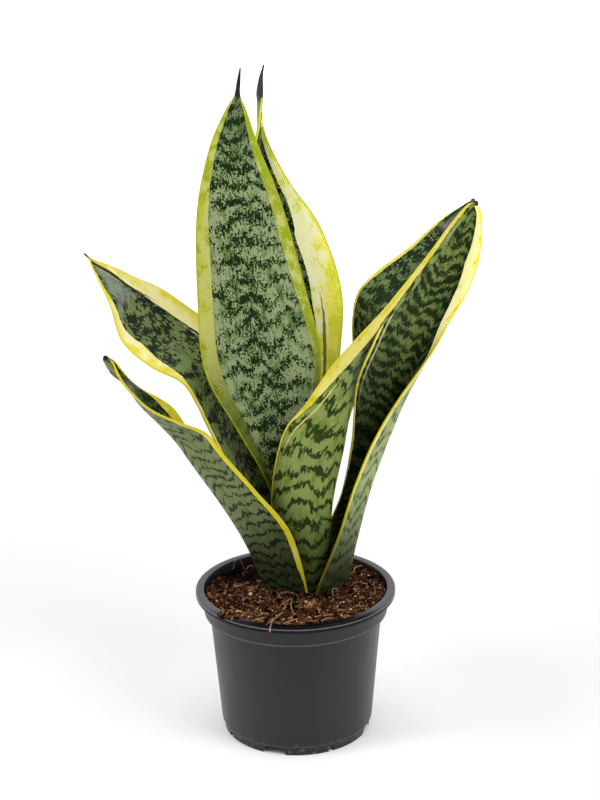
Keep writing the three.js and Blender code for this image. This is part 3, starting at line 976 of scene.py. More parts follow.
@dataclass(frozen=True)
class StudioFloor:
    """Plain pale floor that brightens away from the pot, as a lit white sweep does.

    Distances are metres from the pot's axis. A faint glow round the pot is painted light that fills the
    pot's shadow on the floor; it is stronger in front of the pot, and none is under its foot.
    """

    colour: Colour = (0.74, 0.74, 0.74, 1.0)
    near: float = 0.3
    far: float = 1.8
    far_glow: float = 0.75
    # painted light round the pot, stronger in front of it
    halo: Step = (0.17, 0.04)
    painted_halo_light: float = 0.16
    front: Step = (-0.01, -0.06)
    painted_front_light: float = 0.2
    foot: Step = (0.041, 0.045)

    def build(self) -> bpy.types.Material:
        """Makes the material.

        Returns:
            The material.
        """
        g = Graph("pale_floor")
        place = g.place()
        away = g.away(place, tuple(POT_AXIS * MM))
        _, depth, _ = g.split(place)
        # painted light: a glow round the pot that fills its shadow on the floor
        around = g.times(g.step(away, *self.halo), g.step(away, *self.foot))
        painted_light_ahead = g.times(g.step(depth, *self.front), self.painted_front_light)
        far = g.times(g.step(away, self.near, self.far), self.far_glow)
        glow = g.add(far, g.times(around, g.add(painted_light_ahead, self.painted_halo_light)))
        g.set(Base_Color=self.colour, Roughness=0.7, Specular_IOR_Level=0.1)
        g.set(Emission_Color=(1.0, 1.0, 1.0, 1.0), Emission_Strength=glow)
        return g.material


# ------------------------------------------------------------------ leaves
@dataclass(frozen=True)
class Stripe:
    """A lengthwise stripe beside a margin, given along the leaf's share of length."""

    from_last: bool
    distance: Profile
    half_width: Profile
    pale: bool = True


@dataclass
class Leaf:
    """One blade, from its cut foot on the crown to its tip."""

    name: str
    rows: Rows
    first_band: Profile
    last_band: Profile
    skin: LeafSkin
    stripes: tuple[Stripe, ...] = ()
    steps: int = 15
    samples: int = 161
    inner_columns: int = 60
    margin_radius: float = 0.5
    centre_half: float = 1.15
    foot_extra: float = 0.35
    foot_z: float = 74.0
    swell_from: float = 130.0
    swell_over: float = 40.0
    ripple: float = 0.25
    ripple_waves: Point = (17.0, 23.0, 9.0)
    edge_turns: tuple[float, ...] = (0.0, 35.0, 65.0, 90.0)

    def edge_radius(self, width: np.ndarray) -> np.ndarray:
        """Radius of the rounded margin, smaller where the blade is narrow."""
        return np.minimum(self.margin_radius, 0.3 * width)

    def middle_surface(self) -> tuple[np.ndarray, np.ndarray, np.ndarray]:
        """Samples the blade's middle surface in even steps across.

        Returns:
            Points as rows by columns, distance of each from the first margin, and each
            row's whole width.
        """
        rows = np.array(self.rows, dtype=float)
        count = (len(rows) - 1) * self.steps
        along = curve_through(rows, np.arange(count + 1) / self.steps)
        across = np.linspace(0, rows.shape[1] - 1, self.samples)
        dense = curve_through(along.transpose(1, 0, 2), across).transpose(1, 0, 2)
        gaps = np.linalg.norm(np.diff(dense, axis=1), axis=2)
        travelled = np.concatenate([np.zeros((count + 1, 1)), np.cumsum(gaps, axis=1)], axis=1)
        width = travelled[:, -1]
        radius = self.edge_radius(width)[:, None]
        lead_in = radius * (1 - np.cos(np.radians(self.edge_turns)))[None, :]
        shares = np.arange(1, self.inner_columns) / self.inner_columns
        inner = radius + (width[:, None] - 2 * radius) * shares
        places = np.concatenate([lead_in, inner, width[:, None] - lead_in[:, ::-1]], axis=1)
        points = np.empty((count + 1, places.shape[1], 3))
        for k in range(count + 1):
            for axis in range(3):
                points[k, :, axis] = np.interp(places[k], travelled[k], dense[k, :, axis])
        return points, places, width

    def half_thickness(self, places: np.ndarray, width: np.ndarray, z: np.ndarray) -> np.ndarray:
        """Half the blade's thickness, rounded off to nothing at the very margin.

        Args:
            places: Distance from the first margin.
            width: Each row's width.
            z: Height over the surface the pot stands on.

        Returns:
            Half the thickness at each place.
        """
        radius = self.edge_radius(width)[:, None]
        edge = np.minimum(places, width[:, None] - places)
        share = 2 * places / width[:, None] - 1
        swell = np.clip((self.swell_from - z) / self.swell_over, 0, 1)
        centre = np.minimum(self.centre_half + self.foot_extra * swell, 0.4 * width[:, None])
        body = radius + (np.maximum(centre, radius) - radius) * (1 - share**2)
        lip = np.sqrt(np.clip(radius**2 - (radius - edge) ** 2, 0, None))
        return np.where(edge < radius - 1e-6, lip, body)

    def rippled(
        self, points: np.ndarray, places: np.ndarray, width: np.ndarray, along: np.ndarray
    ) -> tuple[np.ndarray, np.ndarray]:
        """Gives the middle surface a slight ripple, less near the margins and where narrow.

        Args:
            points: Points of the middle surface.
            places: Distance of each from the first margin.
            width: Each row's width.
            along: Distance of each from the foot.

        Returns:
            The moved points, and the direction out of the outer face at each.
        """
        normal = unit(np.cross(np.gradient(points, axis=0), np.gradient(points, axis=1)))
        edge = np.minimum(places, width[:, None] - places)
        fade = np.clip(edge / 6.0, 0.15, 1.0) * np.clip((width[:, None] - 6) / 20, 0, 1)
        length, slant, breadth = self.ripple_waves
        wave = np.sin(along / length + places / slant + self.skin.seed * 5) * np.cos(places / breadth)
        return points + normal * (wave * fade * self.ripple)[..., None], normal

    def build(self) -> bpy.types.Object:
        """Makes the blade as one closed mesh that carries its own coordinates.

        Returns:
            The dressed piece.
        """
        points, places, width = self.middle_surface()
        rows, columns = places.shape
        keel = points[:, columns // 2]
        along = np.concatenate([[0], np.cumsum(np.linalg.norm(np.diff(keel, axis=0), axis=1))])
        along = np.repeat(along[:, None], columns, axis=1)
        points, normal = self.rippled(points, places, width, along)
        half = self.half_thickness(places, width, points[..., 2])[..., None]
        outer = points + normal * half
        inner = points - normal * half
        for side in (outer, inner):
            side[0, :, 2] = self.foot_z
        outer[:, [0, -1]] = points[:, [0, -1]]

        corner = np.arange(rows * columns).reshape(rows, columns)
        back = corner + rows * columns
        back[:, 0], back[:, -1] = corner[:, 0], corner[:, -1]
        faces: list[Face] = []
        for i in range(rows - 1):
            for j in range(columns - 1):
                faces.append((corner[i, j], corner[i + 1, j], corner[i + 1, j + 1], corner[i, j + 1]))
                faces.append((back[i, j], back[i, j + 1], back[i + 1, j + 1], back[i + 1, j]))
        faces += self.cap(corner[0], back[0], False)
        faces += self.cap(corner[-1], back[-1], True)

        everything = np.concatenate([outer.reshape(-1, 3), inner.reshape(-1, 3)])
        used = np.unique(np.concatenate([corner.ravel(), back.ravel()]))
        renumber = np.full(len(everything), -1)
        renumber[used] = np.arange(len(used))
        piece = mesh_object(self.name + "_blade", everything[used], [renumber[list(f)] for f in faces])
        self.attach(piece, used, places, width, along)
        piece.data.materials.append(self.skin.build())
        return piece

    @staticmethod
    def cap(front: np.ndarray, back: np.ndarray, at_tip: bool) -> list[Face]:
        """Faces that close one end of the blade.

        Args:
            front: Corners of the outer face along that end.
            back: Corners of the inner face along it.
            at_tip: True at the tip, False at the foot.

        Returns:
            The faces.
        """
        faces: list[Face] = []
        for j in range(len(front) - 1):
            loop = [front[j], front[j + 1], back[j + 1], back[j]]
            kept = [c for n, c in enumerate(loop) if c not in loop[:n]]
            faces.append(tuple(kept[::-1] if at_tip else kept))
        return [f for f in faces if len(f) > 2]

    def attach(
        self,
        piece: bpy.types.Object,
        used: np.ndarray,
        places: np.ndarray,
        width: np.ndarray,
        along: np.ndarray,
    ) -> None:
        """Stores the blade's own coordinates for its material.

        Args:
            piece: The blade.
            used: Which corners of the two faces the mesh kept.
            places: Distance from the first margin.
            width: Each row's width.
            along: Distance from the foot.
        """
        share = along / along[-1, 0]
        from_last = width[:, None] - places
        lie_back = np.stack([places - width[:, None] / 2, along, np.ones_like(along)], axis=-1)
        lie_inner = lie_back - np.array([0.0, 0.0, 1.0])
        yellow = np.maximum(
            follow(self.first_band, share) - places, follow(self.last_band, share) - from_last
        )
        zone = np.stack([yellow, np.minimum(places, from_last), along[-1, 0] - along], axis=-1)
        fields = {"lie": (lie_back, lie_inner), "zone": (zone, zone)}
        for name, stripe in zip(STRIPE_NAMES, (*self.stripes, None, None)):
            values = np.zeros_like(zone)
            if stripe:
                away = (from_last if stripe.from_last else places) - follow(stripe.distance, share)
                kind = np.full_like(away, 1.0 if stripe.pale else -1.0)
                values = np.stack([away, follow(stripe.half_width, share), kind], axis=-1)
            fields[name] = (values, values)
        for name, (outer, inner) in fields.items():
            stored = np.concatenate([outer.reshape(-1, 3), inner.reshape(-1, 3)])[used]
            made = piece.data.attributes.new(name, "FLOAT_VECTOR", "POINT")
            made.data.foreach_set("vector", stored.astype(np.float32).ravel())


# The broad upright leaf in the middle, inner face to the front.
LEAF_TALL_FRONT = Leaf(
    "leaf_tall_front",
    [
        [(1, 14.5, 74), (5, 17, 74), (10, 15, 74)],
        [(-2, 14, 90), (5, 18, 90), (13, 15.5, 90)],
        [(-15, 6, 149.5), (-4, 12, 143), (9, 9, 146.5)],
        [(-32.5, -1, 188), (-12.5, 9, 185.5), (13.5, 1, 194)],
        [(-50.5, -4, 225.5), (-20, 8, 227.5), (16, -1, 235.5)],
        [(-53.5, -4, 272), (-24.5, 7, 272), (6.5, -1, 279)],
        [(-52.5, -2, 317.5), (-27, 7, 317.5), (-4.5, 0, 320.5)],
        [(-45, 2, 352), (-28, 7, 351.5), (-17, 3, 353)],
        [(-35.5, 5, 373), (-28.5, 7, 373), (-23.5, 5, 372.5)],
        [(-30, 5, 381), (-28.5, 6, 381.5), (-27, 5, 381)],
        [(-28.8, 5, 388), (-27.7, 5.5, 388), (-26.7, 5, 388)],
        [(-27, 5, 396), (-26.6, 5, 396), (-26.2, 5, 396)],
    ],
    first_band=(
        (0, 2), (0.2, 4), (0.35, 8), (0.5, 9.5), (0.68, 8.5), (0.8, 5.5), (0.9, 3), (0.94, 1), (1, 0),
    ),
    last_band=(
        (0, 2), (0.4, 3), (0.5, 4.5), (0.6, 6), (0.7, 7), (0.82, 5.5), (0.9, 3), (0.94, 1), (1, 0),
    ),
    skin=LeafSkin(
        "leaf_skin_tall_front", seed=0.3, tip_length=16.0,
        inner=Marks(
            pale=seen(158, 172, 126), dark=seen(20, 46, 8), period=14.0, level=-0.25, band=0.5,
            sharp=1.35, stroke=3.3, blot=2.9, grain=3.2, keel=0.36, keel_reach=18.0, soft=0.36,
            sway=2.8, tip_squeeze=5.0, tip_shade=0.5,
        ),
        cream=seen(202, 204, 110), yellow=seen(194, 190, 56), lime=seen(150, 170, 26),
        rim=seen(176, 180, 36), lime_share=0.05, lime_side=0.95, mottle=4.2, lime_edge=0.4,
        ripe_low=0.5, ripe_reach=130.0, fade=0.9, speck=0.8, outline=0.2,
    ),
)

# The broad leaf behind it, its slender tip twisted.
LEAF_TALL_BACK = Leaf(
    "leaf_tall_back",
    [
        [(3, 21, 74), (8, 23.5, 74), (13, 20.5, 74)],
        [(1, 21, 90), (9, 25, 90), (17, 20, 90)],
        [(-5.5, 18, 157), (8, 27, 156.5), (20.5, 20, 161.5)],
        [(-18, 16, 220.5), (6, 27, 222), (28, 18, 229)],
        [(-27.5, 16, 262.5), (0, 27, 263.5), (29, 18, 267.5)],
        [(-30.5, 18, 300.5), (-8.5, 28, 300), (17, 19, 305)],
        [(-27, 18, 329.5), (-15, 28, 329), (0, 20, 330)],
        [(-19.5, 16, 355), (-16.5, 26, 353), (-12.5, 21, 354.5)],
        [(-16, 14, 370.5), (-17, 19, 369), (-15.5, 24, 369)],
        [(-14.5, 15, 380.5), (-16.5, 17, 380.5), (-18, 21, 380)],
        [(-14.5, 17, 390), (-15.5, 18, 390), (-16, 19, 389.5)],
        [(-13.5, 18, 396.5), (-14, 18, 396.5), (-14.5, 18, 396.5)],
    ],
    first_band=((0, 2), (0.4, 9), (0.6, 9), (0.75, 4), (0.9, 1), (1, 0)),
    last_band=(
        (0, 4), (0.3, 9), (0.43, 13), (0.56, 19), (0.68, 18), (0.76, 9), (0.85, 5), (0.93, 1), (1, 0),
    ),
    skin=LeafSkin(
        "leaf_skin_tall_back", seed=1.7, tip_length=20.0, tip=seen(58, 66, 60),
        painted_sheen=seen(120, 130, 118), painted_sheen_reach=62.0, lime_share=0.2, lime_edge=0.35, speck=0.4,
        # painted light: this margin lies in shade, so its cream, yellow and lime are set lighter than
        # they look, and it glows
        cream=srgb(252, 248, 196), yellow=srgb(248, 236, 104), lime=srgb(208, 220, 44), glow=0.2,
        ripe_low=0.7, ripe_reach=235.0,
    ),
    stripes=(
        Stripe(
            True, ((0, 7), (0.43, 9.5), (0.6, 14), (1, 14)),
            ((0.24, 0), (0.36, 1.2), (0.5, 1.2), (0.6, 0)), False,
        ),
    ),
)

# The leaf rolled round its keel that leans to the right in front.
LEAF_RIGHT_FRONT = Leaf(
    "leaf_right_front",
    [
        [(15.5, 13, 74), (15, 9, 74), (10, 6, 74), (5, 6, 74), (1, 9, 74)],
        [(20, 13, 90), (19, 6, 90), (11, 1.5, 90), (3, 3, 90), (-2, 7.5, 90)],
        [(22, 8, 141.5), (20.5, -3, 141), (8, -9, 141.5), (-4.5, -7, 140), (-13.5, 0, 138.5)],
        [(27.5, 9, 179), (28, -2, 176.5), (17, -13, 179), (3.5, -16, 182.5), (-7, -11, 187)],
        [(31, 12, 204), (33, 1, 198.5), (27, -11, 199), (16.5, -18, 205.5), (7.5, -17, 210)],
        [(35.5, 17, 225.5), (40.5, 8, 215.5), (35.5, -4, 218.5), (28.5, -18, 227), (22, -22, 233)],
        [(35, 16, 249), (48.5, 5, 234), (41, -11, 242), (40, -20, 244.5), (35.5, -26, 249.5)],
        [(38.5, 12, 268), (48.5, -3, 263), (50.5, -13, 262.5), (54, -21, 261), (50.5, -27, 266)],
        [(50.5, 7, 282), (61, -4, 275.5), (63, -12, 274), (65, -20, 274), (61, -25, 278.5)],
        [(68, 4, 296), (75.5, -3, 293.5), (78, -9, 292), (79, -16, 292), (75.5, -20, 295.5)],
        [(84, 0, 311.5), (88, -3, 310), (90, -6, 308.5), (90.5, -11, 308), (88, -14, 311)],
        [(97, -3, 320), (98.5, -4, 320.5), (99.5, -5, 319.5), (99.5, -7, 319.5), (98, -8, 321)],
        [
            (104, -4.5, 322), (104.5, -5, 322), (104.5, -5, 321.5), (104, -5.5, 321.5),
            (103.5, -5.5, 322),
        ],
    ],
    first_band=((0, 1), (0.5, 1.2), (0.7, 2.0), (0.85, 2.5), (0.96, 1), (1, 0)),
    last_band=(
        (0, 1), (0.42, 1.2), (0.5, 5), (0.57, 8.5), (0.64, 9.5), (0.7, 5.4), (0.8, 3.2), (0.9, 2.2),
        (0.96, 1.6), (1, 0.5),
    ),
    skin=LeafSkin(
        "leaf_skin_right_front",
        inner=Marks(
            pale=seen(116, 134, 84), fresh=seen(78, 100, 44), dark=seen(26, 42, 16), level=0.0,
            period=10.0, grain=2.2,
        ),
        outer=Marks(
            pale=seen(144, 160, 88), fresh=seen(112, 134, 54), dark=seen(46, 64, 22), period=15.0,
            level=-0.3, band=0.85, sharp=1.3, stroke=3.4, grain=1.2, blot=2.2, keel=0.0, soft=0.34,
        ),
        cream=seen(236, 222, 124), yellow=seen(226, 206, 40), rim=seen(220, 210, 84),
        foot=seen(14, 30, 6), foot_reach=84.0, ripe_low=0.5, ripe_reach=150.0, seed=2.9, tip_length=2.0,
        painted_sheen_reach=26.0, painted_sheen=seen(140, 138, 148), glow=0.08,
    ),
    stripes=(
        Stripe(
            True, ((0, 3), (0.36, 4), (0.5, 8), (0.6, 12), (1, 8)),
            ((0.34, 0), (0.4, 0.5), (0.5, 0.5), (0.56, 0)),
        ),
    ),
)

# The leaf behind it that leans right, inner face above and outer face below.
LEAF_RIGHT_BACK = Leaf(
    "leaf_right_back",
    [
        [(17, 25, 74), (24, 10, 74), (13, 1, 74)],
        [(21, 27, 90), (31, 10, 90), (13, -8, 90)],
        [(20, 25, 115.5), (36, 10, 114.5), (25, -9, 122.5)],
        [(28.5, 19, 142.5), (45, 9, 149), (35, -9, 155)],
        [(34, 7, 178), (53.5, 10, 174.5), (46.5, -9, 184)],
        [(36.5, -11, 219), (59.5, 10, 194), (61, -8, 209)],
        [(46, -15.5, 245.5), (70, 12, 221.5), (81, 0, 235)],
        [(54, -13, 261.5), (77.5, 16, 240.5), (91, 6, 251)],
        [(63, 0, 272.5), (85.5, 21, 255.5), (100.5, 10, 266)],
        [(72.5, 8, 284.5), (93.5, 25, 271), (107.5, 14, 283)],
        [(85.5, 14, 300.5), (102, 27, 290.5), (109.5, 17, 299.5)],
        [(98, 18, 313), (106, 24, 307.5), (109, 19, 311.5)],
        [(104, 20, 319.5), (104.5, 20.5, 319.5), (105, 20, 319.5)],
    ],
    first_band=((0, 1), (0.4, 1.2), (0.9, 1.5), (1, 0)),
    last_band=(
        (0, 1.2), (0.3, 1.8), (0.5, 4), (0.62, 9), (0.72, 13), (0.84, 15), (0.92, 9), (0.97, 3), (1, 0),
    ),
    skin=LeafSkin(
        "leaf_skin_right_back",
        inner=Marks(
            pale=seen(134, 152, 92), fresh=seen(90, 116, 52), dark=seen(36, 50, 26), period=7.5,
            foot_period=7.0, level=0.02, band=0.55, stroke=1.6, grain=2.2, blot=3.2, keel=0.1,
            soft=0.32, sway=3.2,
        ),
        outer=Marks(
            # painted light: this face lies in shade, so its colours are set lighter than they look
            pale=srgb(154, 166, 114), fresh=srgb(122, 142, 80), dark=srgb(84, 102, 56), level=-0.3,
            band=0.75, sharp=1.5, grain=1.4, blot=2.0, keel=0.0, soft=0.25,
        ),
        # painted light: the margin's cream and yellow are set lighter than they look, and the margin
        # glows high up the leaf
        cream=srgb(244, 234, 168), yellow=srgb(240, 218, 86), seed=4.1, tip_length=2.0, glow=0.7,
        # painted shade: the darkened foot reaches far up the inner face, which lies in deep shade between
        # the leaves, and darkens the outer face low down
        foot=seen(10, 20, 4), foot_reach=235.0, foot_gain=0.86, foot_back=90.0, painted_glow_from=190.0,
    ),
    stripes=(Stripe(False, ((0, 4.5), (1, 4.0)), ((0.45, 0), (0.52, 0.7), (0.7, 0.8), (0.78, 0))),),
)

# The leaf that leans left and back, inner face upwards.
LEAF_LEFT_UPPER = Leaf(
    "leaf_left_upper",
    [
        [(-3, 11, 74), (-4, 15.5, 74), (0, 19, 74)],
        [(-8, 11, 90), (-9, 17, 90), (-3, 24, 90)],
        [(-25.5, 3, 134.5), (-22, 17, 140), (-5.5, 28, 144)],
        [(-49, 1, 187.5), (-38.5, 17, 194.5), (-18.5, 30, 202.5)],
        [(-56.5, 1.5, 204.5), (-44.5, 18, 212), (-28, 32, 222.5)],
        [(-65, 3.5, 217), (-52, 20, 225), (-38.5, 34, 237)],
        [(-83, 8, 225.5), (-71, 27, 237.5), (-59.5, 40, 251.5)],
        [(-99.5, 16, 238.5), (-88, 34, 251.5), (-77.5, 46, 263)],
        [(-106.5, 26, 256.5), (-99.5, 39, 263), (-93, 49, 269.5)],
        [(-112.5, 35, 267), (-109, 42, 271), (-104.5, 49, 275.5)],
        [(-118.5, 43, 277), (-117.5, 45, 278.5), (-116, 47, 280.5)],
        [(-120.2, 45.3, 281.3), (-119.8, 46, 281.7), (-119.3, 46.7, 282.1)],
        [(-123, 45.5, 284.5), (-123, 46, 285), (-123, 46.5, 285.5)],
    ],
    first_band=((0, 1.5), (0.6, 2), (0.68, 6), (0.76, 9), (0.84, 5), (0.92, 1.5), (1, 0)),
    last_band=((0, 3), (0.6, 10), (0.72, 10.5), (0.8, 11), (0.88, 8), (0.94, 4), (0.97, 2), (1, 0)),
    skin=LeafSkin(
        "leaf_skin_left_upper",
        inner=Marks(
            pale=seen(122, 140, 84), fresh=seen(84, 106, 46), dark=seen(22, 30, 18), period=13.0,
            level=-0.14, band=0.34, stroke=3.0, grain=1.3, blot=4.4, keel=0.1, soft=0.2,
        ),
        cream=seen(244, 236, 166), yellow=seen(230, 214, 64), seed=5.3, foot=seen(16, 28, 6),
        foot_reach=124.0, foot_gain=0.76, painted_sheen=seen(150, 156, 152), painted_sheen_reach=42.0, shine=0.32,
        gloss=0.14, speck=0.1, ripe=0.12, glow=0.08,
    ),
    stripes=(
        Stripe(
            True, ((0, 12), (0.6, 12), (0.72, 12), (0.8, 12.6), (0.88, 10), (0.94, 6.5), (1, 2)),
            (
                (0.54, 0), (0.58, 0.35), (0.68, 0.35), (0.72, 0), (0.86, 0), (0.9, 0.35), (0.98, 0.3),
                (1, 0),
            ),
        ),
        Stripe(
            True, ((0, 9.5), (0.84, 9.5), (0.88, 9), (0.94, 5.2), (1, 1.5)),
            ((0.78, 0), (0.86, 0.9), (0.94, 1.3), (1, 0.6)), False,
        ),
    ),
)

# The leaf that leans left and forward, outer face to the front.
LEAF_LEFT_LOWER = Leaf(
    "leaf_left_lower",
    [
        [(5, 0, 74), (-15, 11, 74), (-2, 28, 74)],
        [(7, -5, 89), (-17.5, 9, 85.5), (-4, 33, 90)],
        [(-2.5, -14, 129.5), (-28, 5, 114.5), (-16.5, 30, 114)],
        [(-22, -20, 158), (-42.5, 2, 141.5), (-35.5, 24, 144.5)],
        [(-39.5, -24, 181.5), (-59.5, 0, 169), (-53, 16, 170)],
        [(-49.5, -26, 195.5), (-67, -3, 182.5), (-61, 13, 182.5)],
        [(-65, -28.5, 203), (-77.3, -6, 196), (-69.5, 8, 199)],
        [(-80.5, -31, 211.5), (-87, -12, 209.5), (-77.5, 3, 207.5)],
        [(-92, -33, 224), (-93.5, -20, 224), (-89, -8, 218)],
        [(-96.5, -33, 232.5), (-100, -27, 231.5), (-95.5, -22, 232)],
        [(-99.5, -32, 239.5), (-104, -29, 239.5), (-98.5, -28, 238.5)],
        [(-103, -31.5, 242), (-104, -31, 242.5), (-102.5, -31, 241.5)],
    ],
    first_band=(
        (0, 1), (0.08, 1.2), (0.13, 3.6), (0.2, 3.9), (0.4, 2.8), (0.6, 3.6), (0.7, 3), (0.8, 2),
        (0.95, 1), (1, 0),
    ),
    last_band=((0, 2), (0.5, 6), (0.75, 6), (0.9, 2), (1, 0)),
    skin=LeafSkin(
        "leaf_skin_left_lower",
        inner=Marks(
            pale=seen(92, 116, 60), fresh=seen(60, 90, 30), dark=seen(20, 36, 10), level=0.05,
            stroke=4.0, grain=1.6,
        ),
        outer=Marks(
            pale=seen(124, 136, 88), fresh=seen(96, 112, 56), dark=seen(48, 58, 42), period=8.0,
            foot_period=5.5, level=-0.26, band=0.7, sharp=2.0, stroke=3.2, grain=1.0, blot=2.8,
            keel=0.0, soft=0.2,
        ),
        # the long darkened foot is partly the leaf's own colour and partly painted shade between the
        # leaves
        yellow=seen(226, 210, 44), foot=seen(4, 12, 0), foot_reach=76.0, foot_gain=0.8, ripe=0.3,
        seed=6.7, tip_length=2.0, speck=0.1, glow=0.08,
    ),
)


# ------------------------------------------------------------------ pot
@dataclass(frozen=True)
class Cutter:
    """A plug that cuts openings round the pot's foot, tapered where it has a top radius.

    Its height z is that of its base where it is tapered, and of its middle where it isn't.
    Turn is about its own axis, and lie is how far it is laid over towards the pot's axis.
    """

    sides: int
    radius: float
    depth: float
    z: float
    top_radius: float | None = None
    turn: float = 0.0
    lie: float = 0.0

    def plug(self, r: Recipe) -> Any:
        """The plug on its own axis, as geometry.

        Args:
            r: The recipe.

        Returns:
            The plug's socket.
        """
        inputs = {"Vertices": self.sides, "Depth": self.depth * MM}
        if self.top_radius is None:
            inputs |= {"Radius": self.radius * MM}
            return r.node("GeometryNodeMeshCylinder", inputs, fill_type="NGON").outputs[0]
        inputs |= {"Radius Bottom": self.radius * MM, "Radius Top": self.top_radius * MM}
        return r.node("GeometryNodeMeshCone", inputs, fill_type="NGON").outputs[0]

    def around(self, r: Recipe, count: Any, first: Any, radius: Any) -> Any:
        """Repeats the plug round the pot's axis.

        Args:
            r: The recipe.
            count: How many.
            first: Heading of the first.
            radius: Distance from the axis.

        Returns:
            The plugs as real geometry.
        """
        inputs = {
            "Geometry": self.plug(r),
            "Translation": r.vector(radius, 0.0, self.z * MM),
            "Rotation": (0.0, self.lie, self.turn),
        }
        moved = r.node("GeometryNodeTransform", inputs).outputs[0]
        points = r.node("GeometryNodePoints", {"Count": count}).outputs[0]
        index = r.node("GeometryNodeInputIndex").outputs[0]
        steps = r.math("MULTIPLY", index, r.math("DIVIDE", 2 * math.pi, count))
        heading = r.vector(0.0, 0.0, r.math("ADD", first, steps))
        return r.real(r.instances(points, moved, Rotation=heading))


@dataclass
class Pot:
    """Round nursery pot, turned from its wall's outline and slotted at the foot."""

    height: float = 90.0
    rim_radius: float = 60.0
    mouth_radius: float = 55.0
    rim_skirt: float = 4.0
    collar_foot_z: float = 75.7
    collar_foot_radius: float = 55.2
    collar_top_radius: float = 56.1
    wall_top_z: float = 74.0
    wall_top_radius: float = 51.7
    wall_foot_z: float = 6.2
    wall_foot_radius: float = 46.0
    foot_radius: float = 44.4
    ring: float = 1.6
    wall: float = 1.3
    floor_low: float = 5.0
    floor_high: float = 6.4
    segments: int = 288
    notch_count: int = 4
    notch_angle: float = -18.0
    vent_angle: float = 27.0
    drain_ring: float = 33.0
    slot: Cutter = Cutter(4, 7.6 * math.sqrt(2), 6.0, -1.4, 4.9 * math.sqrt(2), math.pi / 4)
    vent: Cutter = Cutter(24, 1.8, 10.0, 1.0, lie=math.pi / 2)
    drain: Cutter = Cutter(32, 4.5, 8.0, 2.0)
    small_drain: Cutter = Cutter(24, 3.0, 8.0, 2.0)

    def outline(self) -> list[tuple[float, float]]:
        """Half section of the pot, from the floor's underside out, up, over and back in.

        Returns:
            Radius and height of each corner.
        """
        top, rim, wall = self.height, self.rim_radius, self.wall
        skirt = top - self.rim_skirt
        foot, ring = self.foot_radius, self.foot_radius - self.ring
        low, low_z = self.wall_foot_radius, self.wall_foot_z
        high, high_z = self.wall_top_radius, self.wall_top_z
        collar, collar_z = self.collar_foot_radius, self.collar_foot_z
        band, mouth = self.collar_top_radius, self.mouth_radius
        under = [(0.0, self.floor_low), (ring - 1.2, self.floor_low), (ring, self.floor_low - 0.7)]
        under += [(ring, 0.3), (ring + 0.3, 0.0), (foot - 0.3, 0.0), (foot, 0.3)]
        outside = [(low - 0.95, low_z - 0.7), (low - 0.75, low_z - 0.45), (low - 0.15, low_z - 0.2)]
        outside += [(low, low_z + 0.2), (high - 0.1, high_z - 1.0), (high + 0.2, high_z - 0.1)]
        outside += [(collar - 1.0, collar_z - 0.9), (collar - 0.25, collar_z - 0.4)]
        outside += [(collar, collar_z + 0.3), (band - 0.1, top - 2.6), (band + 0.3, top - 1.7)]
        lip = [(band + 1.0, top - 1.5), (rim - wall - 0.3, top - 1.5), (rim - wall, top - 1.8)]
        lip += [(rim - wall, skirt + 0.4), (rim - 0.95, skirt + 0.1), (rim - 0.6, skirt)]
        lip += [(rim - 0.15, skirt + 0.2), (rim, skirt + 0.6), (rim, top - 1.0), (rim - 0.25, top - 0.4)]
        lip += [(rim - 0.7, top - 0.06), (rim - 1.1, top), (mouth + 0.8, top), (mouth + 0.25, top - 0.15)]
        inside = [(mouth, top - 0.7), (collar - wall, collar_z + 1.2), (high - wall + 0.3, high_z + 0.9)]
        inside += [(high - wall, high_z + 0.2), (low - wall, self.floor_high + 0.6)]
        inside += [(low - wall - 0.8, self.floor_high), (0.0, self.floor_high)]
        return under + outside + lip + inside

    def build(self) -> bpy.types.Object:
        """Turns the outline, then cuts the foot's slots, its vents and the drain holes.

        Returns:
            The dressed pot.
        """
        outline = self.outline()
        spokes = circle(self.segments)
        points: list[Point] = [(0.0, 0.0, outline[0][1])]
        for radius, z in outline[1:-1]:
            points += [(radius * cosine, radius * sine, z) for cosine, sine in spokes]
        points.append((0.0, 0.0, outline[-1][1]))
        faces: list[Face] = []
        count = self.segments
        rings = len(outline) - 2
        top = 1 + (rings - 1) * count
        for s in range(count):
            after = (s + 1) % count
            faces.append((0, 1 + after, 1 + s))
            faces.append((len(points) - 1, top + s, top + after))
            for i in range(rings - 1):
                a, b = 1 + i * count, 1 + (i + 1) * count
                faces.append((a + s, a + after, b + after, b + s))
        piece = mesh_object("nursery_pot", np.array(points) - POT_AXIS, faces)
        plastic = PotPlastic().build()
        piece.data.materials.append(plastic)
        self.open_foot(piece, plastic)
        piece.data.transform(Matrix.Translation(Vector(POT_AXIS) * MM))
        self.dress_lip(piece)
        piece.data.shade_smooth()
        piece.data.set_sharp_from_angle(angle=math.radians(35))
        return piece

    def dress_lip(self, piece: bpy.types.Object) -> None:
        """Gives the lip's faces their own finish, with its painted reflection, painted highlight line and
        painted shade.

        Args:
            piece: The turned pot, in place.
        """
        piece.data.materials.append(LipPlastic().build())
        index = len(piece.data.materials) - 1
        axis = Vector(POT_AXIS).to_2d() * MM
        for face in piece.data.polygons:
            radius = (face.center.to_2d() - axis).length / MM
            height = face.center.z / MM
            if radius > self.mouth_radius + 0.1 and height > self.height - self.rim_skirt + 0.3:
                if face.normal.z > 0.2 or radius > self.rim_radius - 0.6:
                    face.material_index = index

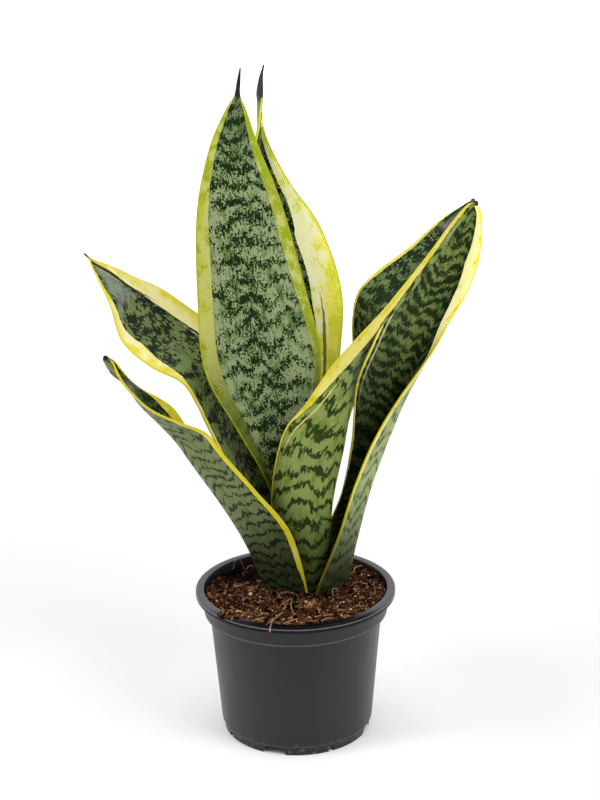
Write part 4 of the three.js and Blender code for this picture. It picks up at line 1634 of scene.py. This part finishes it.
    def open_foot(self, piece: bpy.types.Object, plastic: bpy.types.Material) -> None:
        """Cuts what repeats round the foot with a geometry tree.

        Args:
            piece: The turned pot, still centred on the origin.
            plastic: Its material.
        """
        r = Recipe("foot_openings")
        material = r.input("Material", "Material", plastic)
        count = r.input("Count", "Int", self.notch_count)
        first = r.input("Slot turn", "Float", math.radians(self.notch_angle - 90))
        between = r.input("Vent turn", "Float", math.radians(self.vent_angle - 90))
        foot = r.input("Foot radius", "Float", self.foot_radius * MM)
        floor = r.input("Drain ring radius", "Float", self.drain_ring * MM)
        inputs = {"Mesh 1": r.start.outputs["Geometry"]}
        opened = r.node(
            "GeometryNodeMeshBoolean", inputs, operation="DIFFERENCE", solver="EXACT"
        )
        for cutter, heading, radius in (
            (self.slot, first, foot),
            (self.vent, between, foot),
            (self.drain, first, floor),
            (self.small_drain, between, floor),
        ):
            r.put(opened.inputs["Mesh 2"], cutter.around(r, count, heading, radius))
        r.finish(opened.outputs[0], material)
        r.run(piece)


# ------------------------------------------------------------------ soil
@dataclass(frozen=True)
class Strand:
    """A round bit of root along a smooth path, from its thick start to its thin end."""

    thick: float
    thin: float
    path: tuple[Point, ...]
    sides: int = 7
    steps: int = 5
    end_share: float = 0.35
    side_hint: Point = (0.31, 0.23, 0.92)

    def sweep(self, points: list[Point], faces: list[Face]) -> None:
        """Adds the strand as a closed tube.

        Args:
            points: Points so far, added to.
            faces: Faces so far, added to.
        """
        at = np.linspace(0.0, len(self.path) - 1.0, self.steps * len(self.path))
        line = curve_through(np.array(self.path, dtype=float), at)
        run = unit(np.gradient(line, axis=0))
        over = unit(np.cross(run, np.array(self.side_hint)))
        up = np.cross(run, over)
        start, last, sides = len(points), len(at) - 1, self.sides
        for i, share in enumerate(at / at[-1]):
            radius = self.thick + (self.thin - self.thick) * share
            radius *= self.end_share if i in (0, last) else 1.0
            for cosine, sine in circle(sides):
                x, y, z = line[i] + radius * (cosine * over[i] + sine * up[i])
                points.append((float(x), float(y), float(z)))
        for i in range(last):
            a, b = start + i * sides, start + (i + 1) * sides
            for s in range(sides):
                after = (s + 1) % sides
                faces.append((a + s, a + after, b + after, b + s))
        faces.append(tuple(start + s for s in reversed(range(sides))))
        faces.append(tuple(start + last * sides + s for s in range(sides)))


ROOT_STRANDS = (
    Strand(
        0.5, 0.35,
        (
            (-8, -19.5, 88.5), (-5.5, -25, 90.3), (-4, -23.5, 91), (-2, -21.5, 91), (-2.5, -26, 90),
            (-2.5, -31.5, 89.5), (-1, -34, 87),
        ),
    ),
    Strand(
        0.35, 0.2,
        (
            (-11, -13.5, 87.5), (-9, -13.5, 90.8), (-6, -13, 91.3), (-3, -13.5, 91.3), (0.5, -15, 90.5),
            (2, -16.5, 87.5),
        ),
    ),
    Strand(0.45, 0.5, ((-7.5, -24, 89.3), (-6, -27.5, 89), (-7, -29.5, 87))),
    Strand(
        0.7, 0.45,
        (
            (-7.5, -33.5, 87.5), (-9.5, -41, 89.3), (-12, -47.5, 90.3), (-13.5, -53, 90.9),
            (-14, -58, 90.8), (-14.5, -60.9, 89.8), (-14.5, -61.3, 88),
        ),
    ),
    Strand(0.4, 0.25, ((-12, -47.5, 90), (-14, -50.5, 90.6), (-15.5, -55, 90.8), (-17, -57, 90.5))),
    Strand(
        0.18, 0.15,
        ((-39, 31.5, 87), (-37.5, 37, 90.5), (-35.5, 39.5, 91.8), (-33.5, 35.5, 90), (-31, 32.5, 84)),
    ),
    Strand(0.35, 0.2, ((-31, 33.5, 86), (-28, 32.5, 89.3), (-25, 33.5, 87))),
    Strand(0.2, 0.15, ((-19, 2, 87.5), (-17, -9.5, 89), (-14.5, -17, 87.5))),
)


@dataclass(frozen=True)
class Crumbs:
    """Loose crumbs strewn over the soil, or over the heap that is spilt on the pot's lip.

    The density is for each square metre, and the radii are millimetres. Squash and turn are
    the least and greatest stretch and rotation of a crumb.
    """

    name: str
    shape: Shape
    density: float
    small: float
    large: float
    seed: int
    finish: PeatSoil
    spilt: bool = False
    knob: float = 0.28
    knob_seed: int = 5
    squash: tuple[Point, Point] = ((0.7, 0.5, 0.45), (1.5, 1.0, 0.9))
    turn: tuple[Point, Point] = ((-0.6, -0.6, 0.0), (0.6, 0.6, 6.283))

    def strew(self, piece: bpy.types.Object) -> None:
        """Turns a surface into the crumbs that lie on it.

        Args:
            piece: The surface.
        """
        r = Recipe(self.name)
        material = r.input("Material", "Material", self.finish.build())
        density = r.input("Density", "Float", self.density)
        least = r.input("Least radius", "Float", self.small * MM)
        most = r.input("Greatest radius", "Float", self.large * MM)
        seed = r.input("Seed", "Int", self.seed)
        knobs = r.random((-self.knob,) * 3, (self.knob,) * 3, self.knob_seed)
        inputs = {"Radius": 1.0, "Subdivisions": self.shape.value}
        ball = r.node("GeometryNodeMeshIcoSphere", inputs).outputs[0]
        crumb = r.node("GeometryNodeSetPosition", {"Geometry": ball, "Offset": knobs}).outputs[0]
        draw = r.math("POWER", r.random(0.0, 1.0, r.math("ADD", seed, 1)), 2.0)
        size = r.math("ADD", least, r.math("MULTIPLY", r.math("SUBTRACT", most, least), draw))
        squash = r.random(*self.squash, r.math("ADD", seed, 2))
        scale = r.node("ShaderNodeVectorMath", {0: squash, "Scale": size}, operation="SCALE")
        turn = r.random(*self.turn, r.math("ADD", seed, 3))
        copies = r.instances(r.spread(density, seed), crumb, Rotation=turn, Scale=scale.outputs[0])
        r.finish(r.toned(copies, 0.0, r.math("ADD", seed, 4)), material)
        r.run(piece)
        if self.shape is Shape.GRAIN:
            piece.data.shade_flat()
        else:
            piece.data.shade_smooth()


CRUMBS = (
    Crumbs(
        "soil_grains", Shape.GRAIN, 1000000.0, 0.22, 0.98, 3,
        PeatSoil("peat_grain", by_piece=True, straw_share=0.08),
    ),
    Crumbs(
        "soil_lumps", Shape.LUMP, 90000.0, 0.6, 1.9, 11,
        PeatSoil("peat_lump", by_piece=True, straw_share=0.02),
    ),
    Crumbs(
        "soil_spill", Shape.GRAIN, 1500000.0, 0.3, 1.2, 29,
        PeatSoil("peat_spill", by_piece=True), spilt=True,
    ),
)


@dataclass(frozen=True)
class Fibres:
    """Thin bent fibres that lie among the crumbs.

    The density is for each square metre, and reach holds the least and greatest half length
    in millimetres. The arc and its thickness are given for a half length of one.
    """

    name: str = "soil_fibres"
    density: float = 42000.0
    seed: int = 23
    reach: Step = (1.2, 5.0)
    thick: float = 0.045
    arc: tuple[Point, Point, Point] = ((-1.0, 0.0, 0.0), (0.1, 0.9, 0.35), (1.0, 0.1, 0.0))
    arc_steps: int = 6
    sides: int = 4
    turn: tuple[Point, Point] = ((-0.25, -0.25, 0.0), (0.25, 0.25, 6.283))
    darkest: float = 0.2
    finish: PeatSoil = PeatSoil(
        "peat_fibre",
        deep=srgb(60, 36, 24),
        brown=srgb(120, 80, 54),
        russet=srgb(178, 132, 96),
        straw_share=0.25,
        by_piece=True,
    )

    def strew(self, piece: bpy.types.Object) -> None:
        """Turns a surface into the fibres that lie on it.

        Args:
            piece: The surface.
        """
        r = Recipe(self.name)
        material = r.input("Material", "Material", self.finish.build())
        density = r.input("Density", "Float", self.density)
        thick = r.input("Radius", "Float", self.thick)
        seed = r.input("Seed", "Int", self.seed)
        inputs = dict(zip(("Start", "Middle", "End"), self.arc)) | {"Resolution": self.arc_steps}
        arc = r.node("GeometryNodeCurveQuadraticBezier", inputs).outputs[0]
        inputs = {"Resolution": self.sides, "Radius": thick}
        ring = r.node("GeometryNodeCurvePrimitiveCircle", inputs, mode="RADIUS").outputs[0]
        inputs = {"Curve": arc, "Profile Curve": ring, "Fill Caps": True}
        tube = r.node("GeometryNodeCurveToMesh", inputs).outputs[0]
        turn = r.random(*self.turn, r.math("ADD", seed, 1))
        size = r.random(self.reach[0] * MM, self.reach[1] * MM, r.math("ADD", seed, 2))
        copies = r.instances(r.spread(density, seed), tube, Rotation=turn, Scale=size)
        r.finish(r.toned(copies, self.darkest, r.math("ADD", seed, 3)), material)
        r.run(piece)


@dataclass
class Soil:
    """Potting soil: a lumpy body, crumbs of two sizes, a spilt heap, fibres and root bits.

    Mounds are rises and hollows: their x and y, height and radius.
    """

    pot: Pot
    level: float = 86.6
    rings: int = 84
    sectors: int = 260
    gap: float = 0.3
    mounds: tuple[tuple[float, float, float, float], ...] = (
        (-36, 34, -3.4, 14),
        (-5, -15, -2.4, 3.6),
        (6, -22, 1.6, 5),
        (-38, -34, 1.3, 7),
        (44, 4, 0.8, 14),
    )
    crumbs_in: float = 0.9
    fibres_in: float = 3.0
    heap_x: float = -38.0
    heap_y: float = -41.0
    heap_radius: float = 7.5
    heap_squash: float = 0.8
    heap_rise: float = 2.2
    heap_sunk: float = 0.2
    heap_sides: int = 14
    heap_rings: Profile = ((1.0, 0.0), (0.75, 0.45), (0.4, 0.85))

    def height_at(self, x: float, y: float) -> float:
        """Height of the soil's surface without its crumbs.

        Args:
            x: Place to the right of the pot's axis.
            y: Place behind it.

        Returns:
            The height.
        """
        lumps = 0.7 * math.sin(x * 0.21 + 1.3) * math.cos(y * 0.17)
        lumps += 0.5 * math.sin(x * 0.43 - y * 0.37 + 0.6)
        z = self.level + lumps * 0.7
        for cx, cy, rise, radius in self.mounds:
            z += rise * math.exp(-((x - cx) ** 2 + (y - cy) ** 2) / (2 * radius**2))
        at = Vector((x, y, 0.0))
        z += 0.75 * noise.noise(at * 0.17) + 0.6 * noise.noise(at * 0.45 + Vector((7, 3, 1)))
        z += 0.32 * noise.noise(at * 1.1 + Vector((1, 9, 4)))
        return z

    def mouth(self) -> float:
        """Radius of the soil at its surface."""
        return self.pot.mouth_radius - self.gap - 0.25

    def surface(self, reach: float) -> tuple[list[Point], list[Face]]:
        """Points and faces of the top out to a radius, centre point first.

        Args:
            reach: The radius.

        Returns:
            The points and the faces.
        """
        points: list[Point] = [(0.0, 0.0, self.height_at(0.0, 0.0))]
        spokes = circle(self.sectors)
        for i in range(1, self.rings + 1):
            radius = reach * i / self.rings
            for cosine, sine in spokes:
                x, y = radius * cosine, radius * sine
                points.append((x, y, self.height_at(x, y)))
        faces: list[Face] = []
        for s in range(self.sectors):
            after = (s + 1) % self.sectors
            faces.append((0, 1 + s, 1 + after))
            for i in range(self.rings - 1):
                a, b = 1 + i * self.sectors, 1 + (i + 1) * self.sectors
                faces.append((a + s, b + s, b + after, a + after))
        return points, faces

    def heap(self) -> tuple[list[Point], list[Face]]:
        """Points and faces of the low heap that lies over the lip at the left.

        Returns:
            The points and the faces.
        """
        points: list[Point] = []
        sides = self.heap_sides
        for wide, high in self.heap_rings:
            z = self.pot.height - self.heap_sunk + self.heap_rise * high
            for cosine, sine in circle(sides):
                x = self.heap_x + self.heap_radius * wide * cosine
                y = self.heap_y + self.heap_radius * wide * self.heap_squash * sine
                points.append((x, y, z))
        points.append((self.heap_x, self.heap_y, self.pot.height + self.heap_rise))
        faces: list[Face] = []
        rings = len(self.heap_rings)
        for s in range(sides):
            after = (s + 1) % sides
            for i in range(rings - 1):
                a, b = i * sides, (i + 1) * sides
                faces.append((a + s, a + after, b + after, b + s))
            last = (rings - 1) * sides
            faces.append((last + s, last + after, len(points) - 1))
        return points, faces

    def body(self) -> bpy.types.Object:
        """The closed body of soil that fills the pot.

        Returns:
            The dressed piece.
        """
        points, faces = self.surface(self.mouth())
        pot = self.pot
        last = 1 + (self.rings - 1) * self.sectors
        levels = (
            (pot.collar_foot_radius - pot.wall - self.gap, pot.collar_foot_z + 1.6),
            (pot.wall_top_radius - pot.wall - self.gap, pot.wall_top_z + 1.0),
            (pot.wall_foot_radius - pot.wall - self.gap, pot.floor_high + 0.9),
            (pot.wall_foot_radius - pot.wall - 1.2, pot.floor_high + self.gap),
        )
        for radius, z in levels:
            start = len(points)
            points += [(radius * cosine, radius * sine, z) for cosine, sine in circle(self.sectors)]
            for s in range(self.sectors):
                after = (s + 1) % self.sectors
                faces.append((last + s, start + s, start + after, last + after))
            last = start
        faces.append(tuple(last + s for s in reversed(range(self.sectors))))
        piece = mesh_object("soil_body", points, faces)
        # partly painted shade: the body's browns are set darker than the crumbs' so that the gaps between
        # the crumbs read dark, over the peat's own colour
        finish = PeatSoil("peat", brown=srgb(52, 29, 18), russet=srgb(96, 60, 38))
        piece.data.materials.append(finish.build())
        return piece

    def crumbs(self, crumbs: Crumbs) -> bpy.types.Object:
        """The crumbs of one kind.

        Args:
            crumbs: The kind.

        Returns:
            The dressed piece.
        """
        ground = self.heap() if crumbs.spilt else self.surface(self.mouth() - self.crumbs_in)
        piece = mesh_object(crumbs.name, *ground)
        crumbs.strew(piece)
        return piece

    def fibres(self, fibres: Fibres) -> bpy.types.Object:
        """The fibres among the crumbs.

        Args:
            fibres: What they are like.

        Returns:
            The dressed piece.
        """
        piece = mesh_object(fibres.name, *self.surface(self.mouth() - self.fibres_in))
        fibres.strew(piece)
        return piece

    def roots(self) -> bpy.types.Object:
        """Bent bits of dry root that stick out of the soil, one hanging over the lip.

        Returns:
            The dressed piece.
        """
        points: list[Point] = []
        faces: list[Face] = []
        for strand in ROOT_STRANDS:
            strand.sweep(points, faces)
        piece = mesh_object("root_bits", points, faces)
        finish = RootSkin("root_bit", srgb(168, 128, 98), srgb(74, 46, 32))
        piece.data.materials.append(finish.build())
        return piece

    def build(self) -> list[bpy.types.Object]:
        """Makes the soil's pieces, its body first.

        Returns:
            The dressed pieces.
        """
        pieces = [self.body()]
        pieces += [self.crumbs(crumbs) for crumbs in CRUMBS]
        return pieces + [self.fibres(Fibres()), self.roots()]


# ------------------------------------------------------------------ studio
@dataclass(frozen=True)
class Softbox:
    """A square studio light that looks at a point."""

    name: str
    place: Point
    aim: Point
    size: float
    power: float

    def build(self) -> None:
        """Adds the light."""
        lamp = bpy.data.lights.new(self.name, "AREA")
        lamp.shape = "SQUARE"
        lamp.size = self.size
        lamp.energy = self.power
        made = bpy.data.objects.new(self.name, lamp)
        made.location = self.place
        towards = Vector(self.aim) - Vector(self.place)
        made.rotation_euler = towards.to_track_quat("-Z", "Y").to_euler()
        bpy.context.scene.collection.objects.link(made)


@dataclass
class Studio:
    """Camera at the photograph's place, soft light and a pale floor.

    The camera's place is in millimetres. The lights and the floor are in metres.
    """

    camera_place: Point = (10.56, -888.3, 479.0)
    pitch: float = 17.05
    roll: float = -0.69
    lens: float = 72.0
    floor_reach: float = 40.0
    front_air: float = 0.6
    back_air: float = 1.1
    air_rise: float = 0.7
    air_from: float = -0.35
    air_to: float = 0.7
    softboxes: list[Softbox] = field(
        default_factory=lambda: [
            Softbox("softbox_left", (-1.45, -0.48, 1.0), (0.0, 0.0, 0.15), 0.65, 9.5),
            Softbox("softbox_right", (0.98, -0.9, 1.35), (0.0, 0.0, 0.15), 0.65, 9.5),
            Softbox("softbox_top", (0.0, 0.4, 1.6), (0.0, 0.0, 0.1), 1.3, 5.0),
        ]
    )

    def camera(self) -> None:
        """Makes the camera."""
        data = bpy.data.cameras.new("camera")
        data.sensor_width = 36.0
        data.lens = self.lens
        data.clip_start, data.clip_end = 0.05, 100.0
        made = bpy.data.objects.new("camera", data)
        made.location = Vector(self.camera_place) * MM
        look = Euler((math.radians(90 - self.pitch), 0.0, 0.0)).to_matrix()
        roll = Matrix.Rotation(math.radians(self.roll), 3, "Z")
        made.rotation_euler = (look @ roll).to_euler()
        bpy.context.scene.collection.objects.link(made)
        bpy.context.scene.camera = made

    def floor(self) -> None:
        """Makes the floor."""
        reach = self.floor_reach
        places = [(-reach, -reach, 0), (reach, -reach, 0), (reach, reach, 0), (-reach, reach, 0)]
        mesh = bpy.data.meshes.new("studio_floor")
        mesh.from_pydata(places, [], [(0, 1, 2, 3)])
        mesh.materials.append(StudioFloor().build())
        made = bpy.data.objects.new("studio_floor", mesh)
        bpy.context.scene.collection.objects.link(made)

    def build(self) -> None:
        """Makes the camera, the floor, the lights and the world."""
        self.camera()
        self.floor()
        for softbox in self.softboxes:
            softbox.build()
        self.air()
        bpy.context.scene.view_settings.view_transform = "Standard"

    def air(self) -> None:
        """Makes the white room: brighter behind the plant than in front of it."""
        world = bpy.data.worlds.new("studio_air")
        world.use_nodes = True
        t = Tree(world.node_tree)
        toward = t.node("ShaderNodeTexCoord").outputs["Generated"]
        _, depth, up = t.node("ShaderNodeSeparateXYZ", {0: toward}).outputs[:3]
        inputs = {
            "Value": t.math("MULTIPLY_ADD", up, self.air_rise, depth),
            "From Min": self.air_from,
            "From Max": self.air_to,
            "To Min": self.front_air,
            "To Max": self.back_air,
        }
        glow = t.node("ShaderNodeMapRange", inputs, interpolation_type="SMOOTHSTEP").outputs[0]
        air = t.tree.nodes["Background"]
        t.put(air.inputs["Color"], (1.0, 1.0, 1.0, 1.0))
        t.put(air.inputs["Strength"], glow)
        bpy.context.scene.world = world


# ------------------------------------------------------------------ plant
@dataclass
class Plant:
    """All leaves and the buried crown."""

    leaves: tuple[Leaf, ...] = (
        LEAF_TALL_FRONT,
        LEAF_TALL_BACK,
        LEAF_RIGHT_FRONT,
        LEAF_RIGHT_BACK,
        LEAF_LEFT_UPPER,
        LEAF_LEFT_LOWER,
    )

    def build(self, nodes: dict[str, bpy.types.Object]) -> None:
        """Replaces each CAD leaf and finishes the crown's CAD node.

        Args:
            nodes: The frame's CAD nodes by name.
        """
        for leaf in self.leaves:
            piece = leaf.build()
            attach(piece, "root")
            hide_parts(leaf.name)
            LOG.info("%s: %d faces", piece.name, len(piece.data.polygons))
        crown = nodes["rhizome"]
        crown.data.materials.clear()
        crown.data.materials.append(RootSkin().build())


def main() -> None:
    """Loads the frame and builds the studio, the pot, the soil and the plant."""
    logging.basicConfig(level=logging.INFO, format="%(name)s %(message)s")
    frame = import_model()
    Studio().build()
    pot = Pot()
    shell = pot.build()
    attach(shell, "root")
    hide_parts("pot")
    LOG.info("%s: %d faces", shell.name, len(shell.data.polygons))
    for number, piece in enumerate(Soil(pot).build()):
        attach(piece, "root")
        if number == 0:
            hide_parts("soil")
        LOG.info("%s: %d faces", piece.name, len(piece.data.polygons))
    Plant().build(frame["nodes"])


if __name__ == "__main__":
    main()
